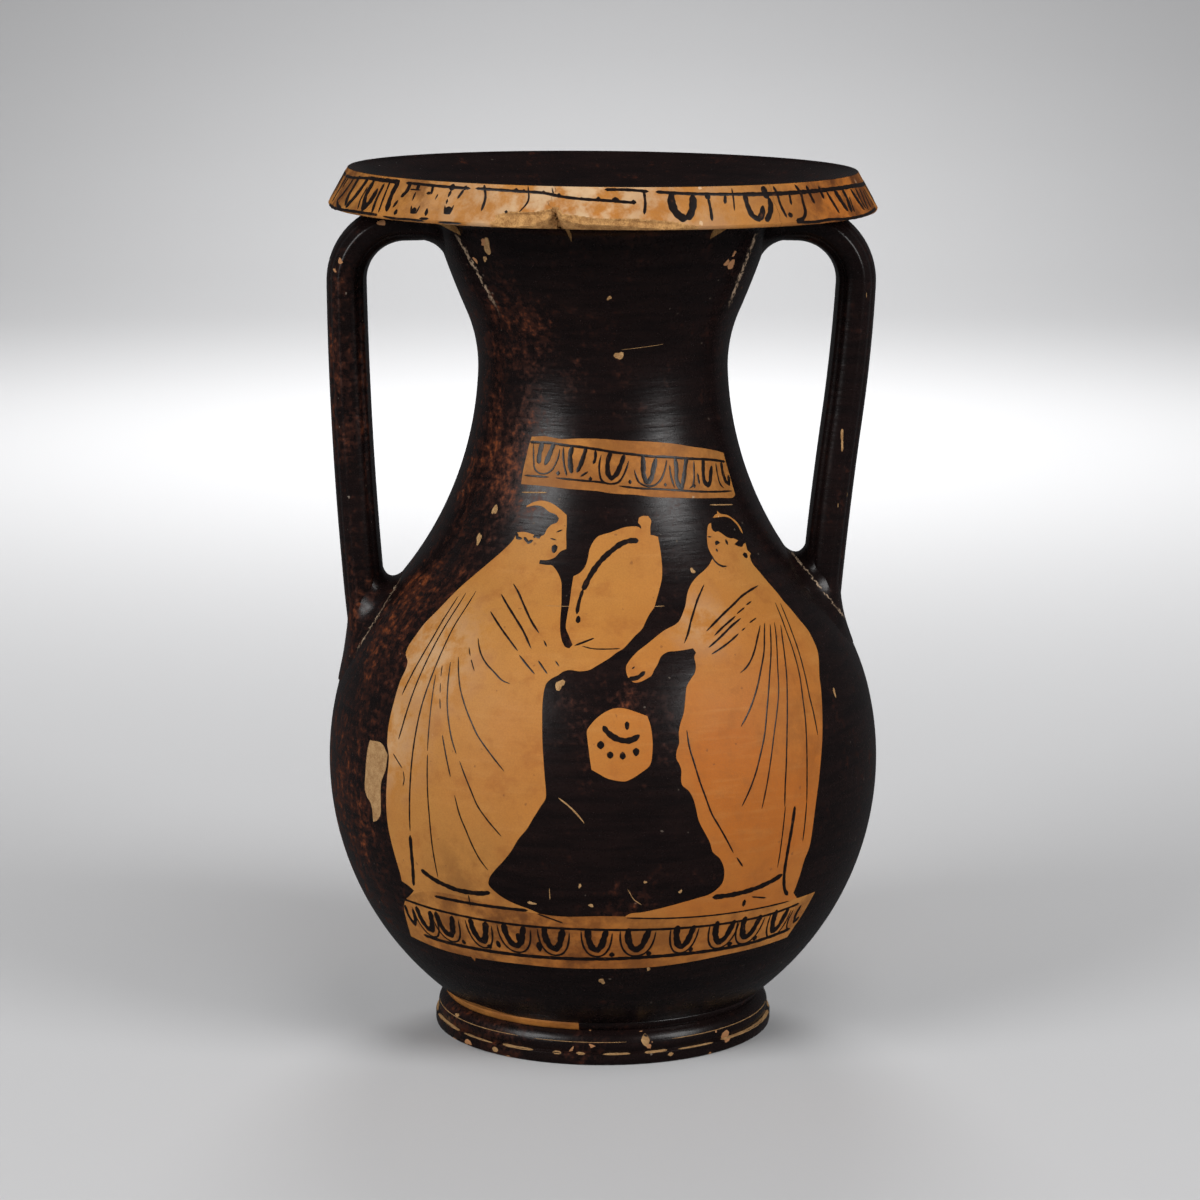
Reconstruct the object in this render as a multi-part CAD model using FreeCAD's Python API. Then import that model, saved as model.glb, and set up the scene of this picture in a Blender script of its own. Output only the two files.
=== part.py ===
import FreeCAD, Part
import math
import os

# A pelike: a two-handled jar of fired clay with a wide mouth, a low belly and a ring foot.
# It was thrown in sections, and the foot and both handles were luted on with wet clay.
# Millimetres, +Z up. The origin is the centre of the ring that the jar stands on,
# the painted front faces -Y, and the handles lie on +X and -X.
# Outlines are half sections in the XZ plane, where x is the distance from the jar's axis.

# Whole jar
height = 255.0
wall = 5.0

# Body: the outer wall is a run of tangent arcs, up from the foot to the mouth.
# Each arc is (radius, turn in degrees), and a positive turn bulges outwards.
body_start = (45.4, 10.0)
body_heading = 36.4
body_arcs = [(88.0, 68.0), (69.0, 27.6), (103.0, -19.7), (103.0, -19.7), (40.0, -26.2), (235.0, 6.2)]
# The wall is thrown in three sections, each given by its first arc and the one after its last.
wall_sections = {"belly": (0, 1), "shoulder": (1, 3), "neck": (3, 6)}

# Seat of the body in the foot: a shallow cone round a flat underside.
seat_radius = 30.0
seat_height = 7.0

# Mouth: an overhanging lip with a sloping band, and a funnel inside it.
underside_fillet = 6.0
underside_slope = 4.0
band_bottom = (79.5, 244.6)
band_top = (74.0, height - 0.5)
lip_crest = 0.6
lip_corner = 1.0
# Share of the corner that its rounding keeps back from the full radius.
lip_corner_round = 0.15
funnel_sag = (59.5, 246.6)
# The lip broke and was mended. Directions are degrees from the front, + towards +X.
breaks = (-56.0, -10.6, 38.0)

# Foot: a plain band below, a groove, and a rounded moulding above.
foot_radius = 50.2
foot_edge = 0.8
band_height = 3.3
groove_radius = 49.1
groove_height = 3.8
moulding_side = (49.3, 6.2)
moulding_top = (46.8, 9.7)
rest_inner_radius = 40.0
foot_bead = 1.7
foot_bead_lean = 0.2

# Handles: straps that leave the neck level, bend down and land on the shoulder.
# Each path starts inside the neck wall, and its arcs are (radius, turn in degrees).
strap_width = 20.0
strap_thickness = 11.6
root_thickness = 10.0
root_flare = 3.0
neck_embed = 45.0
handle_height = 239.2
handles = {
    "right": {
        "side": 1,
        "lead": 11.5,
        "arcs": [(17.0, -93.0), (500.0, -4.5), (1200.0, 3.5)],
        "luting": {"length": 41.0, "inner": 16.0, "outer": 6.0},
    },
    "left": {
        "side": -1,
        "lead": 12.5,
        "arcs": [(17.0, -90.5), (1200.0, -3.5), (1200.0, -2.0)],
        "luting": {"length": 40.0, "inner": 16.0, "outer": 2.4},
    },
}
strap_sections = 16
# Luting: a skin round each root, and how fast it spreads, in mm per squared mm of reach
# at the neck and in mm over its whole length at the shoulder.
luting_skin = 0.4
luting_sections = 6
# How far the upper luting starts back along the strap from its bend.
luting_start = 1.0
luting_spread = 16.0
smear_reach = 20.0
smear_width = 0.06
smear_drop = 0.05


def vec(x, z, y=0.0):
    return FreeCAD.Vector(x, y, z)


def rad(degrees):
    return math.radians(degrees)


def walk(start, heading, arcs):
    """Follow tangent arcs. Gives the start, middle and end of each arc, and the last heading."""
    x, z = start
    legs = []
    for radius, turn in arcs:
        side = 1.0 if turn > 0 else -1.0
        centre_x = x - side * radius * math.sin(rad(heading))
        centre_z = z + side * radius * math.cos(rad(heading))
        leg = [(x, z)]
        for part in (0.5, 1.0):
            angle = rad(heading + turn * part)
            ahead = side * radius * math.sin(angle)
            leg.append((centre_x + ahead, centre_z - side * radius * math.cos(angle)))
        legs.append(leg)
        x, z = leg[-1]
        heading += turn
    return legs, heading


def inwards(point, heading, distance):
    """Move a point of the wall to the left of its heading, which is into the jar."""
    return (point[0] - distance * math.sin(rad(heading)), point[1] + distance * math.cos(rad(heading)))


def line(a, b):
    return Part.LineSegment(vec(*a), vec(*b)).toShape()


def arc(a, middle, b):
    return Part.Arc(vec(*a), vec(*middle), vec(*b)).toShape()


def turned(edges, first=-180.0, last=180.0):
    """Turn a closed half section round the axis between two directions from the front."""
    face = Part.Face(Part.Wire(Part.__sortEdges__(edges)))
    face.rotate(vec(0, 0), vec(0, 1), first - 90.0)
    return face.revolve(vec(0, 0), vec(0, 1), last - first)


outer_legs, mouth_heading = walk(body_start, body_heading, body_arcs)
inner_arcs = [(radius - math.copysign(wall, turn), turn) for radius, turn in body_arcs]
inner_start = inwards(body_start, body_heading, wall)
inner_legs, _ = walk(inner_start, body_heading, inner_arcs)
mouth_joint_outer = outer_legs[-1][-1]
mouth_joint_inner = inner_legs[-1][-1]
seat_edge = (seat_radius, seat_height)


def wall_section(first, last):
    """A thrown section of the wall. The lowest one has the floor and the seat in the foot."""
    edges = [arc(*leg) for leg in outer_legs[first:last] + inner_legs[first:last]]
    edges.append(line(outer_legs[last - 1][-1], inner_legs[last - 1][-1]))
    if first > 0:
        edges.append(line(outer_legs[first][0], inner_legs[first][0]))
    else:
        edges.append(line(inner_start, (0.0, inner_start[1])))
        edges.append(line((0.0, inner_start[1]), (0.0, seat_height)))
        edges.append(line((0.0, seat_height), seat_edge))
        edges.append(line(seat_edge, body_start))
    return turned(edges)


def body_and_hollow():
    """The whole body with its hollow filled, which trims whatever is luted to its outside."""
    top = (0.0, mouth_joint_outer[1])
    edges = [arc(*leg) for leg in outer_legs]
    edges.append(line(mouth_joint_outer, top))
    edges.append(line(top, (0.0, seat_height)))
    edges.append(line((0.0, seat_height), seat_edge))
    edges.append(line(seat_edge, body_start))
    return turned(edges)


def lip_outside():
    """Edges of the lip from the joint out along its underside, round the corner and up the band."""
    fillet_turn = underside_slope - mouth_heading
    legs, _ = walk(mouth_joint_outer, mouth_heading, [(underside_fillet, fillet_turn)])
    fillet_end = legs[0][-1]
    corner_start_x = band_bottom[0] - lip_corner
    rise = (corner_start_x - fillet_end[0]) * math.tan(rad(underside_slope))
    corner_start = (corner_start_x, fillet_end[1] + rise)
    corner_middle = (band_bottom[0] - lip_corner_round * lip_corner, (corner_start[1] + band_bottom[1]) / 2)
    return [
        arc(*legs[0]),
        line(fillet_end, corner_start),
        arc(corner_start, corner_middle, band_bottom),
        line(band_bottom, band_top),
    ]


def lip(first, last):
    """A stretch of the mouth ring between two directions from the front."""
    crest = (band_top[0] - lip_crest, height)
    funnel_top = (band_top[0] - 2 * lip_crest, band_top[1])
    edges = lip_outside()
    edges.append(arc(band_top, crest, funnel_top))
    edges.append(arc(funnel_top, funnel_sag, mouth_joint_inner))
    edges.append(line(mouth_joint_inner, mouth_joint_outer))
    return turned(edges, first, last)


def lip_and_hollow():
    """The mouth ring with its hollow filled."""
    edges = lip_outside()
    edges.append(line(band_top, (0.0, band_top[1])))
    edges.append(line((0.0, band_top[1]), (0.0, mouth_joint_outer[1])))
    edges.append(line((0.0, mouth_joint_outer[1]), mouth_joint_outer))
    return turned(edges)


def foot():
    """The ring foot, which the seat of the body fills from above."""
    middle = foot_edge * (1.0 - math.sqrt(0.5))
    edges = [
        line((rest_inner_radius, 0.0), (foot_radius - foot_edge, 0.0)),
        arc((foot_radius - foot_edge, 0.0), (foot_radius - middle, middle), (foot_radius, foot_edge)),
        line((foot_radius, foot_edge), (foot_radius, band_height)),
        line((foot_radius, band_height), (groove_radius, groove_height)),
        arc((groove_radius, groove_height), moulding_side, moulding_top),
        line(moulding_top, body_start),
        line(body_start, seat_edge),
        line(seat_edge, (rest_inner_radius, 0.0)),
    ]
    return turned(edges)


def foot_luting():
    """The bead of clay in the corner between the foot and the body."""
    bead_top = (moulding_top[0] + foot_bead_lean, moulding_top[1] + foot_bead)
    hidden = (moulding_top[0] - wall, moulding_top[1] + foot_bead)
    edges = [
        line(body_start, moulding_top),
        line(moulding_top, bead_top),
        line(bead_top, hidden),
        line(hidden, body_start),
    ]
    return turned(edges).cut(body_and_hollow())


def oval(x, z, heading, width, thickness):
    """A closed oval section across a heading, with its width along Y."""
    across = vec(-math.sin(rad(heading)), math.cos(rad(heading)))
    centre = vec(x, z)
    ellipse = Part.Ellipse(centre + vec(0, 0, width / 2), centre + across * (thickness / 2), centre)
    return Part.Wire(ellipse.toShape())


def path_length(handle):
    """Length of a handle's centre line, from inside the neck wall to inside the shoulder."""
    return handle["lead"] + sum(radius * abs(rad(turn)) for radius, turn in handle["arcs"])


def path_point(handle, distance):
    """Place and heading of the centre line at a distance along it, on the +X side."""
    lead = min(distance, handle["lead"])
    start = (neck_embed + lead, handle_height)
    rest = distance - lead
    arcs = []
    for radius, turn in handle["arcs"]:
        length = radius * abs(rad(turn))
        if rest > 0.0:
            arcs.append((radius, turn * min(rest / length, 1.0)))
        rest -= length
    legs, heading = walk(start, 0.0, arcs)
    end = legs[-1][-1] if legs else start
    return end[0], end[1], heading


def strap(handle):
    """The bare strap, wider at both roots and thinner where it leaves the neck."""
    sections = []
    for step in range(strap_sections + 1):
        share = step / strap_sections
        x, z, heading = path_point(handle, share * path_length(handle))
        width = strap_width + root_flare * (2.0 * share - 1.0) ** 4
        thickness = strap_thickness - (strap_thickness - root_thickness) * (1.0 - share) ** 6
        sections.append(oval(x, z, heading, width, thickness))
    return Part.makeLoft(sections, True, False)


def upper_luting(handle):
    """Clay smeared from the upper root onto the neck, spreading as it nears the wall."""
    sections = []
    tip = neck_embed + handle["lead"] - luting_start
    for step in range(luting_sections + 1):
        reach = smear_reach * step / luting_sections
        width = strap_width + root_flare + 2.0 * luting_skin + smear_width * reach ** 2
        half = strap_thickness / 2 + luting_skin
        top = handle_height + half
        bottom = handle_height - half - smear_drop * reach ** 2
        sections.append(oval(tip - reach, (top + bottom) / 2, 0.0, width, top - bottom))
    return Part.makeLoft(sections, True, False)


def lower_luting(handle):
    """Clay pressed round the lower root, thick in the crotch and feathered over the shoulder."""
    luting = handle["luting"]
    sections = []
    for step in range(luting_sections + 1):
        share = step / luting_sections
        x, z, heading = path_point(handle, path_length(handle) - luting["length"] * (1.0 - share))
        inner = luting_skin + luting["inner"] * share
        outer = luting_skin + luting["outer"] * share ** 4
        width = strap_width + root_flare + 2.0 * luting_skin + luting_spread * share ** 2
        thickness = strap_thickness + inner + outer
        sections.append(oval(x + (outer - inner) / 2, z, heading, width, thickness))
    return Part.makeLoft(sections, True, False)


def placed(shape, side):
    """Put a shape modelled on the +X side on its own side."""
    return shape if side > 0 else shape.mirror(vec(0, 0), vec(1, 0))


def whole(shape):
    """Keep the piece itself, without crumbs that a cut leaves at a feather edge."""
    return max(shape.Solids, key=lambda solid: solid.Volume)


def make_parts():
    parts = {"foot": foot(), "luting_foot": foot_luting()}
    for name, (first, last) in wall_sections.items():
        parts[name] = wall_section(first, last)
    parts["mouth"] = lip(breaks[2], breaks[0] + 360.0)
    parts["mouth_sherd_left"] = lip(breaks[0], breaks[1])
    parts["mouth_sherd_right"] = lip(breaks[1], breaks[2])
    jar = body_and_hollow().fuse(lip_and_hollow())
    for name, handle in handles.items():
        bare = strap(handle)
        parts["handle_" + name] = bare.cut(jar)
        for place, clay in (("upper", upper_luting(handle)), ("lower", lower_luting(handle))):
            parts["luting_" + name + "_" + place] = clay.cut(bare).cut(jar)
        for node in [node for node in parts if name in node and not node.startswith("mouth")]:
            parts[node] = placed(parts[node], handle["side"])
    return {node: whole(shape) for node, shape in parts.items()}


os.makedirs("parts", exist_ok=True)
for node, shape in make_parts().items():
    shape.exportStep("parts/" + node + ".step")
    box = shape.BoundBox
    print(node, "volume", round(shape.Volume / 1000.0, 2), "cm3, valid", shape.isValid(), "box",
          [round(value, 1) for value in (box.XMin, box.YMin, box.ZMin, box.XMax, box.YMax, box.ZMax)])
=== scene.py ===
import bpy
import math
import numpy as np
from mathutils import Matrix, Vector
from mathutils.geometry import delaunay_2d_cdt


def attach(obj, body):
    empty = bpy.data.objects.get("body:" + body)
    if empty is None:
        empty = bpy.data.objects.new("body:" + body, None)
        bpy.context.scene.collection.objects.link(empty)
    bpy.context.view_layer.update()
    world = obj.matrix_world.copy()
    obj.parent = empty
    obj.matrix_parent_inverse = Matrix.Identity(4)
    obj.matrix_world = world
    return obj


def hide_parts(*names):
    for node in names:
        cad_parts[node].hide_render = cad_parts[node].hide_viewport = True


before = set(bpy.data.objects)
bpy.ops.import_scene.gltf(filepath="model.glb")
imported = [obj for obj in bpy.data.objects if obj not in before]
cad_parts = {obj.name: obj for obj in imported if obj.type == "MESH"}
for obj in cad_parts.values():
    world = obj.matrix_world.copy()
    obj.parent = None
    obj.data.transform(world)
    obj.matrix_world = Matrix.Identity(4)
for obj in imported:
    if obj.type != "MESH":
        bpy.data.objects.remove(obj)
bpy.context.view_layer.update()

# A red-figured pelike, in millimetres and degrees: a turn is measured from the front, + towards +X.
mm = 0.001


# Lines and surfaces

def followArcs(start, heading, arcs, step):
    # each arc carries on from the last one and turns the heading by its own angle round its own radius
    places, headings = [np.array([start], float)], [np.array([heading], float)]
    for radius, turn in arcs:
        side = math.copysign(1.0, turn)
        x, z = places[-1][-1]
        middleX = x - side * radius * math.sin(math.radians(heading))
        middleZ = z + side * radius * math.cos(math.radians(heading))
        count = max(2, int(abs(radius * math.radians(turn)) / step) + 1)
        angle = heading + turn * np.arange(1, count + 1) / count
        run = np.radians(angle)
        reach = side * radius
        places.append(np.stack([middleX + reach * np.sin(run), middleZ - reach * np.cos(run)], -1))
        headings.append(angle)
        heading += turn
    return np.concatenate(places), np.concatenate(headings)


def smoothPath(points, step, closed=False, corner=50.0):
    # a cubic runs between each two points; its slope blends the chords beside a point, but not at a corner
    points = np.asarray(points, float)
    if closed:
        ring = np.concatenate([points[-1:], points, points[:2]])
    else:
        ring = np.concatenate([2 * points[:1] - points[1:2], points, 2 * points[-1:] - points[-2:-1]])
    chord = np.diff(ring, axis=0)
    length = np.linalg.norm(chord, axis=1, keepdims=True)
    way = chord / length
    blended = (way[:-1] * length[1:] + way[1:] * length[:-1]) / (length[1:] + length[:-1])
    sharp = (way[:-1] * way[1:]).sum(1, keepdims=True) < math.cos(math.radians(corner))
    leave = np.where(sharp, way[1:], blended)[:-1]
    arrive = np.where(sharp, way[:-1], blended)[1:]
    span = length[1:-1]
    count = np.maximum(1, np.ceil(span[:, 0] / step)).astype(int)
    piece = np.repeat(np.arange(len(count)), count)
    first = np.repeat(np.cumsum(count) - count, count)
    t = ((np.arange(len(piece)) - first) / count[piece])[:, None]
    a, b = ring[1:-2][piece], ring[2:-1][piece]
    slopeA, slopeB = leave[piece] * span[piece], arrive[piece] * span[piece]
    path = ((2 * t ** 3 - 3 * t ** 2 + 1) * a + (t ** 3 - 2 * t ** 2 + t) * slopeA
            + (3 * t ** 2 - 2 * t ** 3) * b + (t ** 3 - t ** 2) * slopeB)
    return path if closed else np.concatenate([path, points[-1:]])


def ease(value, low, high):
    # 0 below low, 1 above high, and a smooth step between them
    t = np.clip((np.asarray(value, float) - low) / (high - low), 0, 1)
    return t * t * (3 - 2 * t)


# Meshes

def gridFaces(rows, columns, closedRows=False, closedColumns=False):
    # four-sided faces between neighbours of a grid; a closed side also joins its last line to its first
    r = np.arange(rows - (not closedRows))[:, None]
    c = np.arange(columns - (not closedColumns))[None, :]
    r, c = r + 0 * c, c + 0 * r
    nextR, nextC = (r + 1) % rows, (c + 1) % columns
    corners = [r * columns + c, r * columns + nextC, nextR * columns + nextC, nextR * columns + c]
    return np.stack(corners, -1).reshape(-1, 4)


def ringed(rings):
    # a closed tube of rings, with each end drawn in to its middle
    rows, columns = rings.shape[:2]
    places = np.concatenate([rings.reshape(-1, 3), rings[0].mean(0)[None], rings[-1].mean(0)[None]])
    c = np.arange(columns)
    after = (c + 1) % columns
    last = (rows - 1) * columns
    tris = np.concatenate([np.stack([np.full(columns, rows * columns), after, c], -1),
                           np.stack([np.full(columns, rows * columns + 1), last + c, last + after], -1)])
    return places, gridFaces(rows, columns, closedColumns=True), tris


def gathered(shapes):
    # several shapes as the arrays of one mesh
    places, quads, tris = zip(*shapes)
    starts = np.cumsum([0] + [len(part) for part in places])
    return (np.concatenate(places), *(np.concatenate([part + start for part, start in zip(faces, starts)])
                                      for faces in (quads, tris)))


def makePiece(name, shape, finishes, nodes=(), finishOf=None, sharp=None):
    # millimetre arrays become one object whose place is in its mesh; its faces are turned outwards
    places, quads, tris = shape
    corners = np.concatenate([quads[:, [0, 1, 2]], quads[:, [0, 2, 3]], tris])
    a, b, c = places[corners[:, 0]], places[corners[:, 1]], places[corners[:, 2]]
    if (a * np.cross(b, c)).sum() < 0:
        quads, tris = quads[:, ::-1], tris[:, ::-1]
    mesh = bpy.data.meshes.new(name)
    mesh.vertices.add(len(places))
    mesh.vertices.foreach_set("co", (places * mm).astype(np.float32).ravel())
    loops = np.concatenate([quads.ravel(), tris.ravel()]).astype(np.int32)
    corners = np.repeat([4, 3], [len(quads), len(tris)])
    starts = (np.cumsum(corners) - corners).astype(np.int32)
    mesh.loops.add(len(loops))
    mesh.loops.foreach_set("vertex_index", loops)
    mesh.polygons.add(len(starts))
    mesh.polygons.foreach_set("loop_start", starts)
    mesh.update(calc_edges=True)
    mesh.polygons.foreach_set("use_smooth", np.ones(len(starts), bool))
    for finish in finishes:
        mesh.materials.append(finish)
    if finishOf is not None:
        mesh.polygons.foreach_set("material_index", finishOf.astype(np.int32))
    mesh.validate()
    mesh.update()
    if sharp:
        mesh.set_sharp_from_angle(angle=math.radians(sharp))
    piece = bpy.data.objects.new(name, mesh)
    bpy.context.scene.collection.objects.link(piece)
    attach(piece, "root")
    if nodes:
        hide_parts(*nodes)


# Shader building

def feed(tree, socket, value):
    # a socket takes what another socket gives, or a plain number or colour
    if isinstance(value, bpy.types.NodeSocket):
        tree.links.new(value, socket)
    else:
        socket.default_value = value


def put(tree, kind, inputs=None, **settings):
    # one node with its settings, and what feeds each input
    node = tree.nodes.new("ShaderNode" + kind)
    for key, value in settings.items():
        setattr(node, key, value)
    for key, value in (inputs or {}).items():
        feed(tree, node.inputs[key], value)
    return node


def sums(tree, operation, a, b=0.0, c=0.0, clamp=False):
    return put(tree, "Math", {0: a, 1: b, 2: c}, operation=operation, use_clamp=clamp).outputs[0]


def times(tree, a, b):
    return sums(tree, "MULTIPLY", a, b)


def total(tree, *terms, clamp=False):
    # several values, each times its own weight, added up
    added = times(tree, *terms[-1]) if isinstance(terms[-1], tuple) else terms[-1]
    for value, weight in reversed(terms[1:-1]):
        added = sums(tree, "MULTIPLY_ADD", value, weight, added)
    return sums(tree, "MULTIPLY_ADD", *terms[0], added, clamp)


def mixed(tree, share, a, b):
    # one colour laid over another by a share
    colours = {0: share, 6: a, 7: b}
    return put(tree, "Mix", colours, data_type="RGBA", blend_type="MIX", clamp_factor=True).outputs[2]


def between(tree, value, low, high, toLow=0.0, toHigh=1.0):
    # a value's range mapped to another, eased at both ends
    ends = {"Value": value, "From Min": low, "From Max": high, "To Min": toLow, "To Max": toHigh}
    return put(tree, "MapRange", ends, interpolation_type="SMOOTHSTEP").outputs["Result"]


def cloud(tree, place, scale, detail=3.0, rough=0.55, shift=0.0, stretch=(1, 1, 1)):
    # fractal noise: the scale is in features per metre, and stretch squeezes it along each axis
    away = (shift, shift * 1.7, -shift)
    moved = put(tree, "Mapping", {"Vector": place, "Location": away, "Scale": stretch})
    return put(tree, "TexNoise", {"Vector": moved.outputs[0], "Scale": scale, "Detail": detail,
                                  "Roughness": rough}).outputs["Fac"]


def tint(red, green, blue):
    # a colour given as it is seen on a screen, 0 to 255, as light
    share = np.array([red, green, blue], float) / 255
    light = np.where(share <= 0.04045, share / 12.92, ((share + 0.055) / 1.055) ** 2.4)
    return (*[float(value) for value in light], 1.0)


def newGroup(name, inputs, outputs):
    # a node group with named sockets: its tree, what its inputs give and what its outputs take
    group = bpy.data.node_groups.new(name, "ShaderNodeTree")
    for way, sockets in (("INPUT", inputs), ("OUTPUT", outputs)):
        for label, kind in sockets.items():
            group.interface.new_socket(label, in_out=way, socket_type="NodeSocket" + kind)
    return group, group.nodes.new("NodeGroupInput").outputs, group.nodes.new("NodeGroupOutput").inputs


def use(tree, group, inputs):
    return put(tree, "Group", inputs, node_tree=group).outputs


def newFinish(name, values):
    # a material whose shader keeps the values that are the same all over
    finish = bpy.data.materials.new(name)
    finish.use_nodes = True
    tree = finish.node_tree
    shader = tree.nodes["Principled BSDF"]
    for key, value in values.items():
        shader.inputs[key].default_value = value
    return finish, tree, shader, put(tree, "TexCoord").outputs["Object"]


def bumped(tree, shader, height, strength, distance):
    bump = put(tree, "Bump", {"Height": height, "Strength": strength, "Distance": distance})
    tree.links.new(bump.outputs[0], shader.inputs["Normal"])


# Wall of the body: belly, shoulder and neck in one skin

wallValues = {
    "start": (45.4, 10.0), "heading": 36.4,
    "arcs": [(88.0, 68.0), (69.0, 27.6), (103.0, -39.4), (40.0, -26.2), (235.0, 6.2)],
    "thickness": 5.0, "outerStep": 1.4, "innerStep": 3.4, "around": 288,
    "seat": [(3.0, 7.0), (16.0, 7.0), (30.0, 7.0)], "floorRadii": (28.0, 14.0, 3.0),
}
outline, outlineHeading = followArcs(wallValues["start"], wallValues["heading"], wallValues["arcs"], 0.1)


def onWall(turn, height, lift=0.0):
    # the wall's radius at a height, turned round the axis, then raised along the wall's own slope
    slant = np.radians(np.interp(height, outline[:, 1], outlineHeading))
    radius = np.interp(height, outline[:, 1], outline[:, 0]) + lift * np.sin(slant)
    angle = np.radians(turn)
    return np.stack([radius * np.sin(angle), -radius * np.cos(angle), height - lift * np.cos(slant)], -1)


def turnOf(places):
    return np.degrees(np.arctan2(places[..., 0], -places[..., 1]))


def wallDepth(places):
    # how far a place is inside the outer skin, measured level
    return np.interp(places[..., 2], outline[:, 1], outline[:, 0]) - np.hypot(places[..., 0], places[..., 1])


def keptInWall(places, depth):
    # whatever reaches deeper into the wall than this is drawn back out, so that nothing shows in the hollow
    radius = np.hypot(places[..., 0], places[..., 1])
    least = np.interp(places[..., 2], outline[:, 1], outline[:, 0]) - depth
    grow = (np.maximum(radius, least) / radius)[..., None]
    return places * np.concatenate([grow, grow, np.ones_like(grow)], -1)


def lathe(profile, turns):
    # every place of a profile, a radius and a height, turned round the axis
    angle = np.radians(turns)[None, :]
    radius, height = profile[:, :1], profile[:, 1:]
    return np.stack([radius * np.sin(angle), -radius * np.cos(angle), height + 0 * angle], -1)


def wallRings(values):
    # one profile lathed: the seat, up the outer skin, down the inner one, and in across the floor
    skin, _ = followArcs(values["start"], values["heading"], values["arcs"], values["outerStep"])
    back, backSlopes = followArcs(values["start"], values["heading"], values["arcs"], values["innerStep"])
    inward = np.radians(backSlopes[::-1])
    inner = back[::-1] + values["thickness"] * np.stack([-np.sin(inward), np.cos(inward)], -1)
    floor = [(radius, inner[-1, 1]) for radius in values["floorRadii"]]
    profile = np.concatenate([values["seat"], skin, inner, floor])
    return lathe(profile, np.arange(values["around"]) * 360 / values["around"])


def cadPlaces(node):
    # a CAD node's corners in millimetres
    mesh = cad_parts[node].data
    places = np.empty(len(mesh.vertices) * 3, np.float32)
    mesh.vertices.foreach_get("co", places)
    return places.reshape(-1, 3) / mm


cadWall = np.concatenate([cadPlaces(node) for node in ("belly", "shoulder", "neck")])
depth = np.abs(wallDepth(cadWall))
outerSkin = depth < wallValues["thickness"] / 5
print("wall outline: CAD skin points lie within", round(float(depth[outerSkin].max()), 3), "mm of it")


# Foot

footValues = {
    "below": [(40.0, 0.0), (45.0, 0.0), (49.4, 0.0), (49.75, 0.08), (50.05, 0.3), (50.2, 0.8), (50.2, 2.0),
              (50.2, 3.1), (50.0, 3.35), (49.35, 3.55), (49.1, 3.8)],
    "moulding": [(49.1, 3.8), (49.32, 4.9), (49.3, 6.2), (48.6, 8.1), (46.8, 9.7)],
    "hidden": [(45.4, 10.0), (38.0, 8.6), (30.0, 7.0), (35.0, 3.5)], "around": 256, "step": 0.4,
    "bead": [(46.2, 9.5), (46.95, 9.75), (47.35, 10.3), (47.75, 11.2), (48.25, 12.3), (47.0, 12.2),
             (45.2, 10.4)],
    "beadClay": (-95.0, -8.0),  # the turns between which the bead is bare clay
}
footSkin = np.concatenate([footValues["below"][:-1], smoothPath(footValues["moulding"], footValues["step"])])
footSide = footSkin[4:]


def onFoot(turn, height, lift=0.0):
    # the foot's outer side as a radius for each height
    radius = np.interp(height, footSide[:, 1], footSide[:, 0]) + lift
    angle = np.radians(turn)
    return np.stack([radius * np.sin(angle), -radius * np.cos(angle), height + 0 * angle], -1)


def closedLathe(profile, around):
    # a profile that is itself a loop, lathed into a ring
    rings = lathe(np.asarray(profile, float), np.arange(around) * 360 / around)
    return rings.reshape(-1, 3), gridFaces(len(profile), around, True, True), np.empty((0, 3), int)


# Mouth: a mended ring with a sloping band, a chipped lower edge and a funnel

mouthValues = {
    "underFillet": (6.0, -68.6), "corner": [(78.5, 243.5), (79.1, 243.75), (79.4, 244.15), (79.5, 244.6)],
    "bandTop": (74.0, 254.5), "crest": [(73.85, 254.75), (73.55, 254.95), (73.2, 254.95), (72.9, 254.75)],
    "funnel": [(72.8, 254.5), (59.5, 246.6), (43.9, 239.1)],
    "tilt": -0.010, "tiltStart": 46, "tiltFull": 76, "tiltOnBand": 77,  # a slope, then radii
    "breaks": (-56.0, -10.6, 38.0), "gap": 0.05, "jag": 0.5, "jagReach": 4, "rowTurn": 0.7,
    "lipFrom": 60, "rawFrom": 70, "scarEdge": 0.9, "wholeEdge": 244.05,
    # lower edge where it is chipped away: turn and height, and how fast the chip runs in under the lip
    "edge": [(-23, 244.0), (-18, 244.2), (-14, 244.9), (-11.5, 246.4), (-10.3, 247.9), (-9.7, 248.7),
             (-9, 247.4), (-8, 246.4), (-6, 245.7), (-4, 245.2), (0, 245.2), (6, 244.8), (12, 244.2),
             (20, 244.0)],
    "edgeRun": 1.5,
    # flake scars on the band: turn, top of the scar, and its depth
    "scar": [(-23, 244.0, 0.0), (-22, 246.8, 0.5), (-19, 247.7, 0.9), (-14, 247.9, 1.0), (-11.5, 248.6, 1.0),
             (-9.7, 249.4, 0.9), (-8.4, 247.6, 0.7), (-2, 246.6, 0.5), (4, 246.6, 0.8), (10, 246.2, 0.8),
             (14, 245.6, 0.6), (19, 244.2, 0.0)],
}
bandLow = np.array(mouthValues["corner"][-1])
bandTop = np.array(mouthValues["bandTop"])
jointOuter = outline[-1]
jointSlant = math.radians(outlineHeading[-1])
jointInner = jointOuter + wallValues["thickness"] * np.array([-math.sin(jointSlant), math.cos(jointSlant)])


def bandRadius(height):
    # the band is a cone: its radius falls evenly from its lower edge to its top
    return bandLow[0] + (height - bandLow[1]) * (bandTop[0] - bandLow[0]) / (bandTop[1] - bandLow[1])


def tilted(places):
    # the mended mouth sits a little low on its right side
    radius = np.hypot(places[..., 0], places[..., 1])
    share = ease(radius, mouthValues["tiltStart"], mouthValues["tiltFull"])
    drop = mouthValues["tilt"] * places[..., 0] * share
    return places + drop[..., None] * np.array([0, 0, 1.0])


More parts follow.
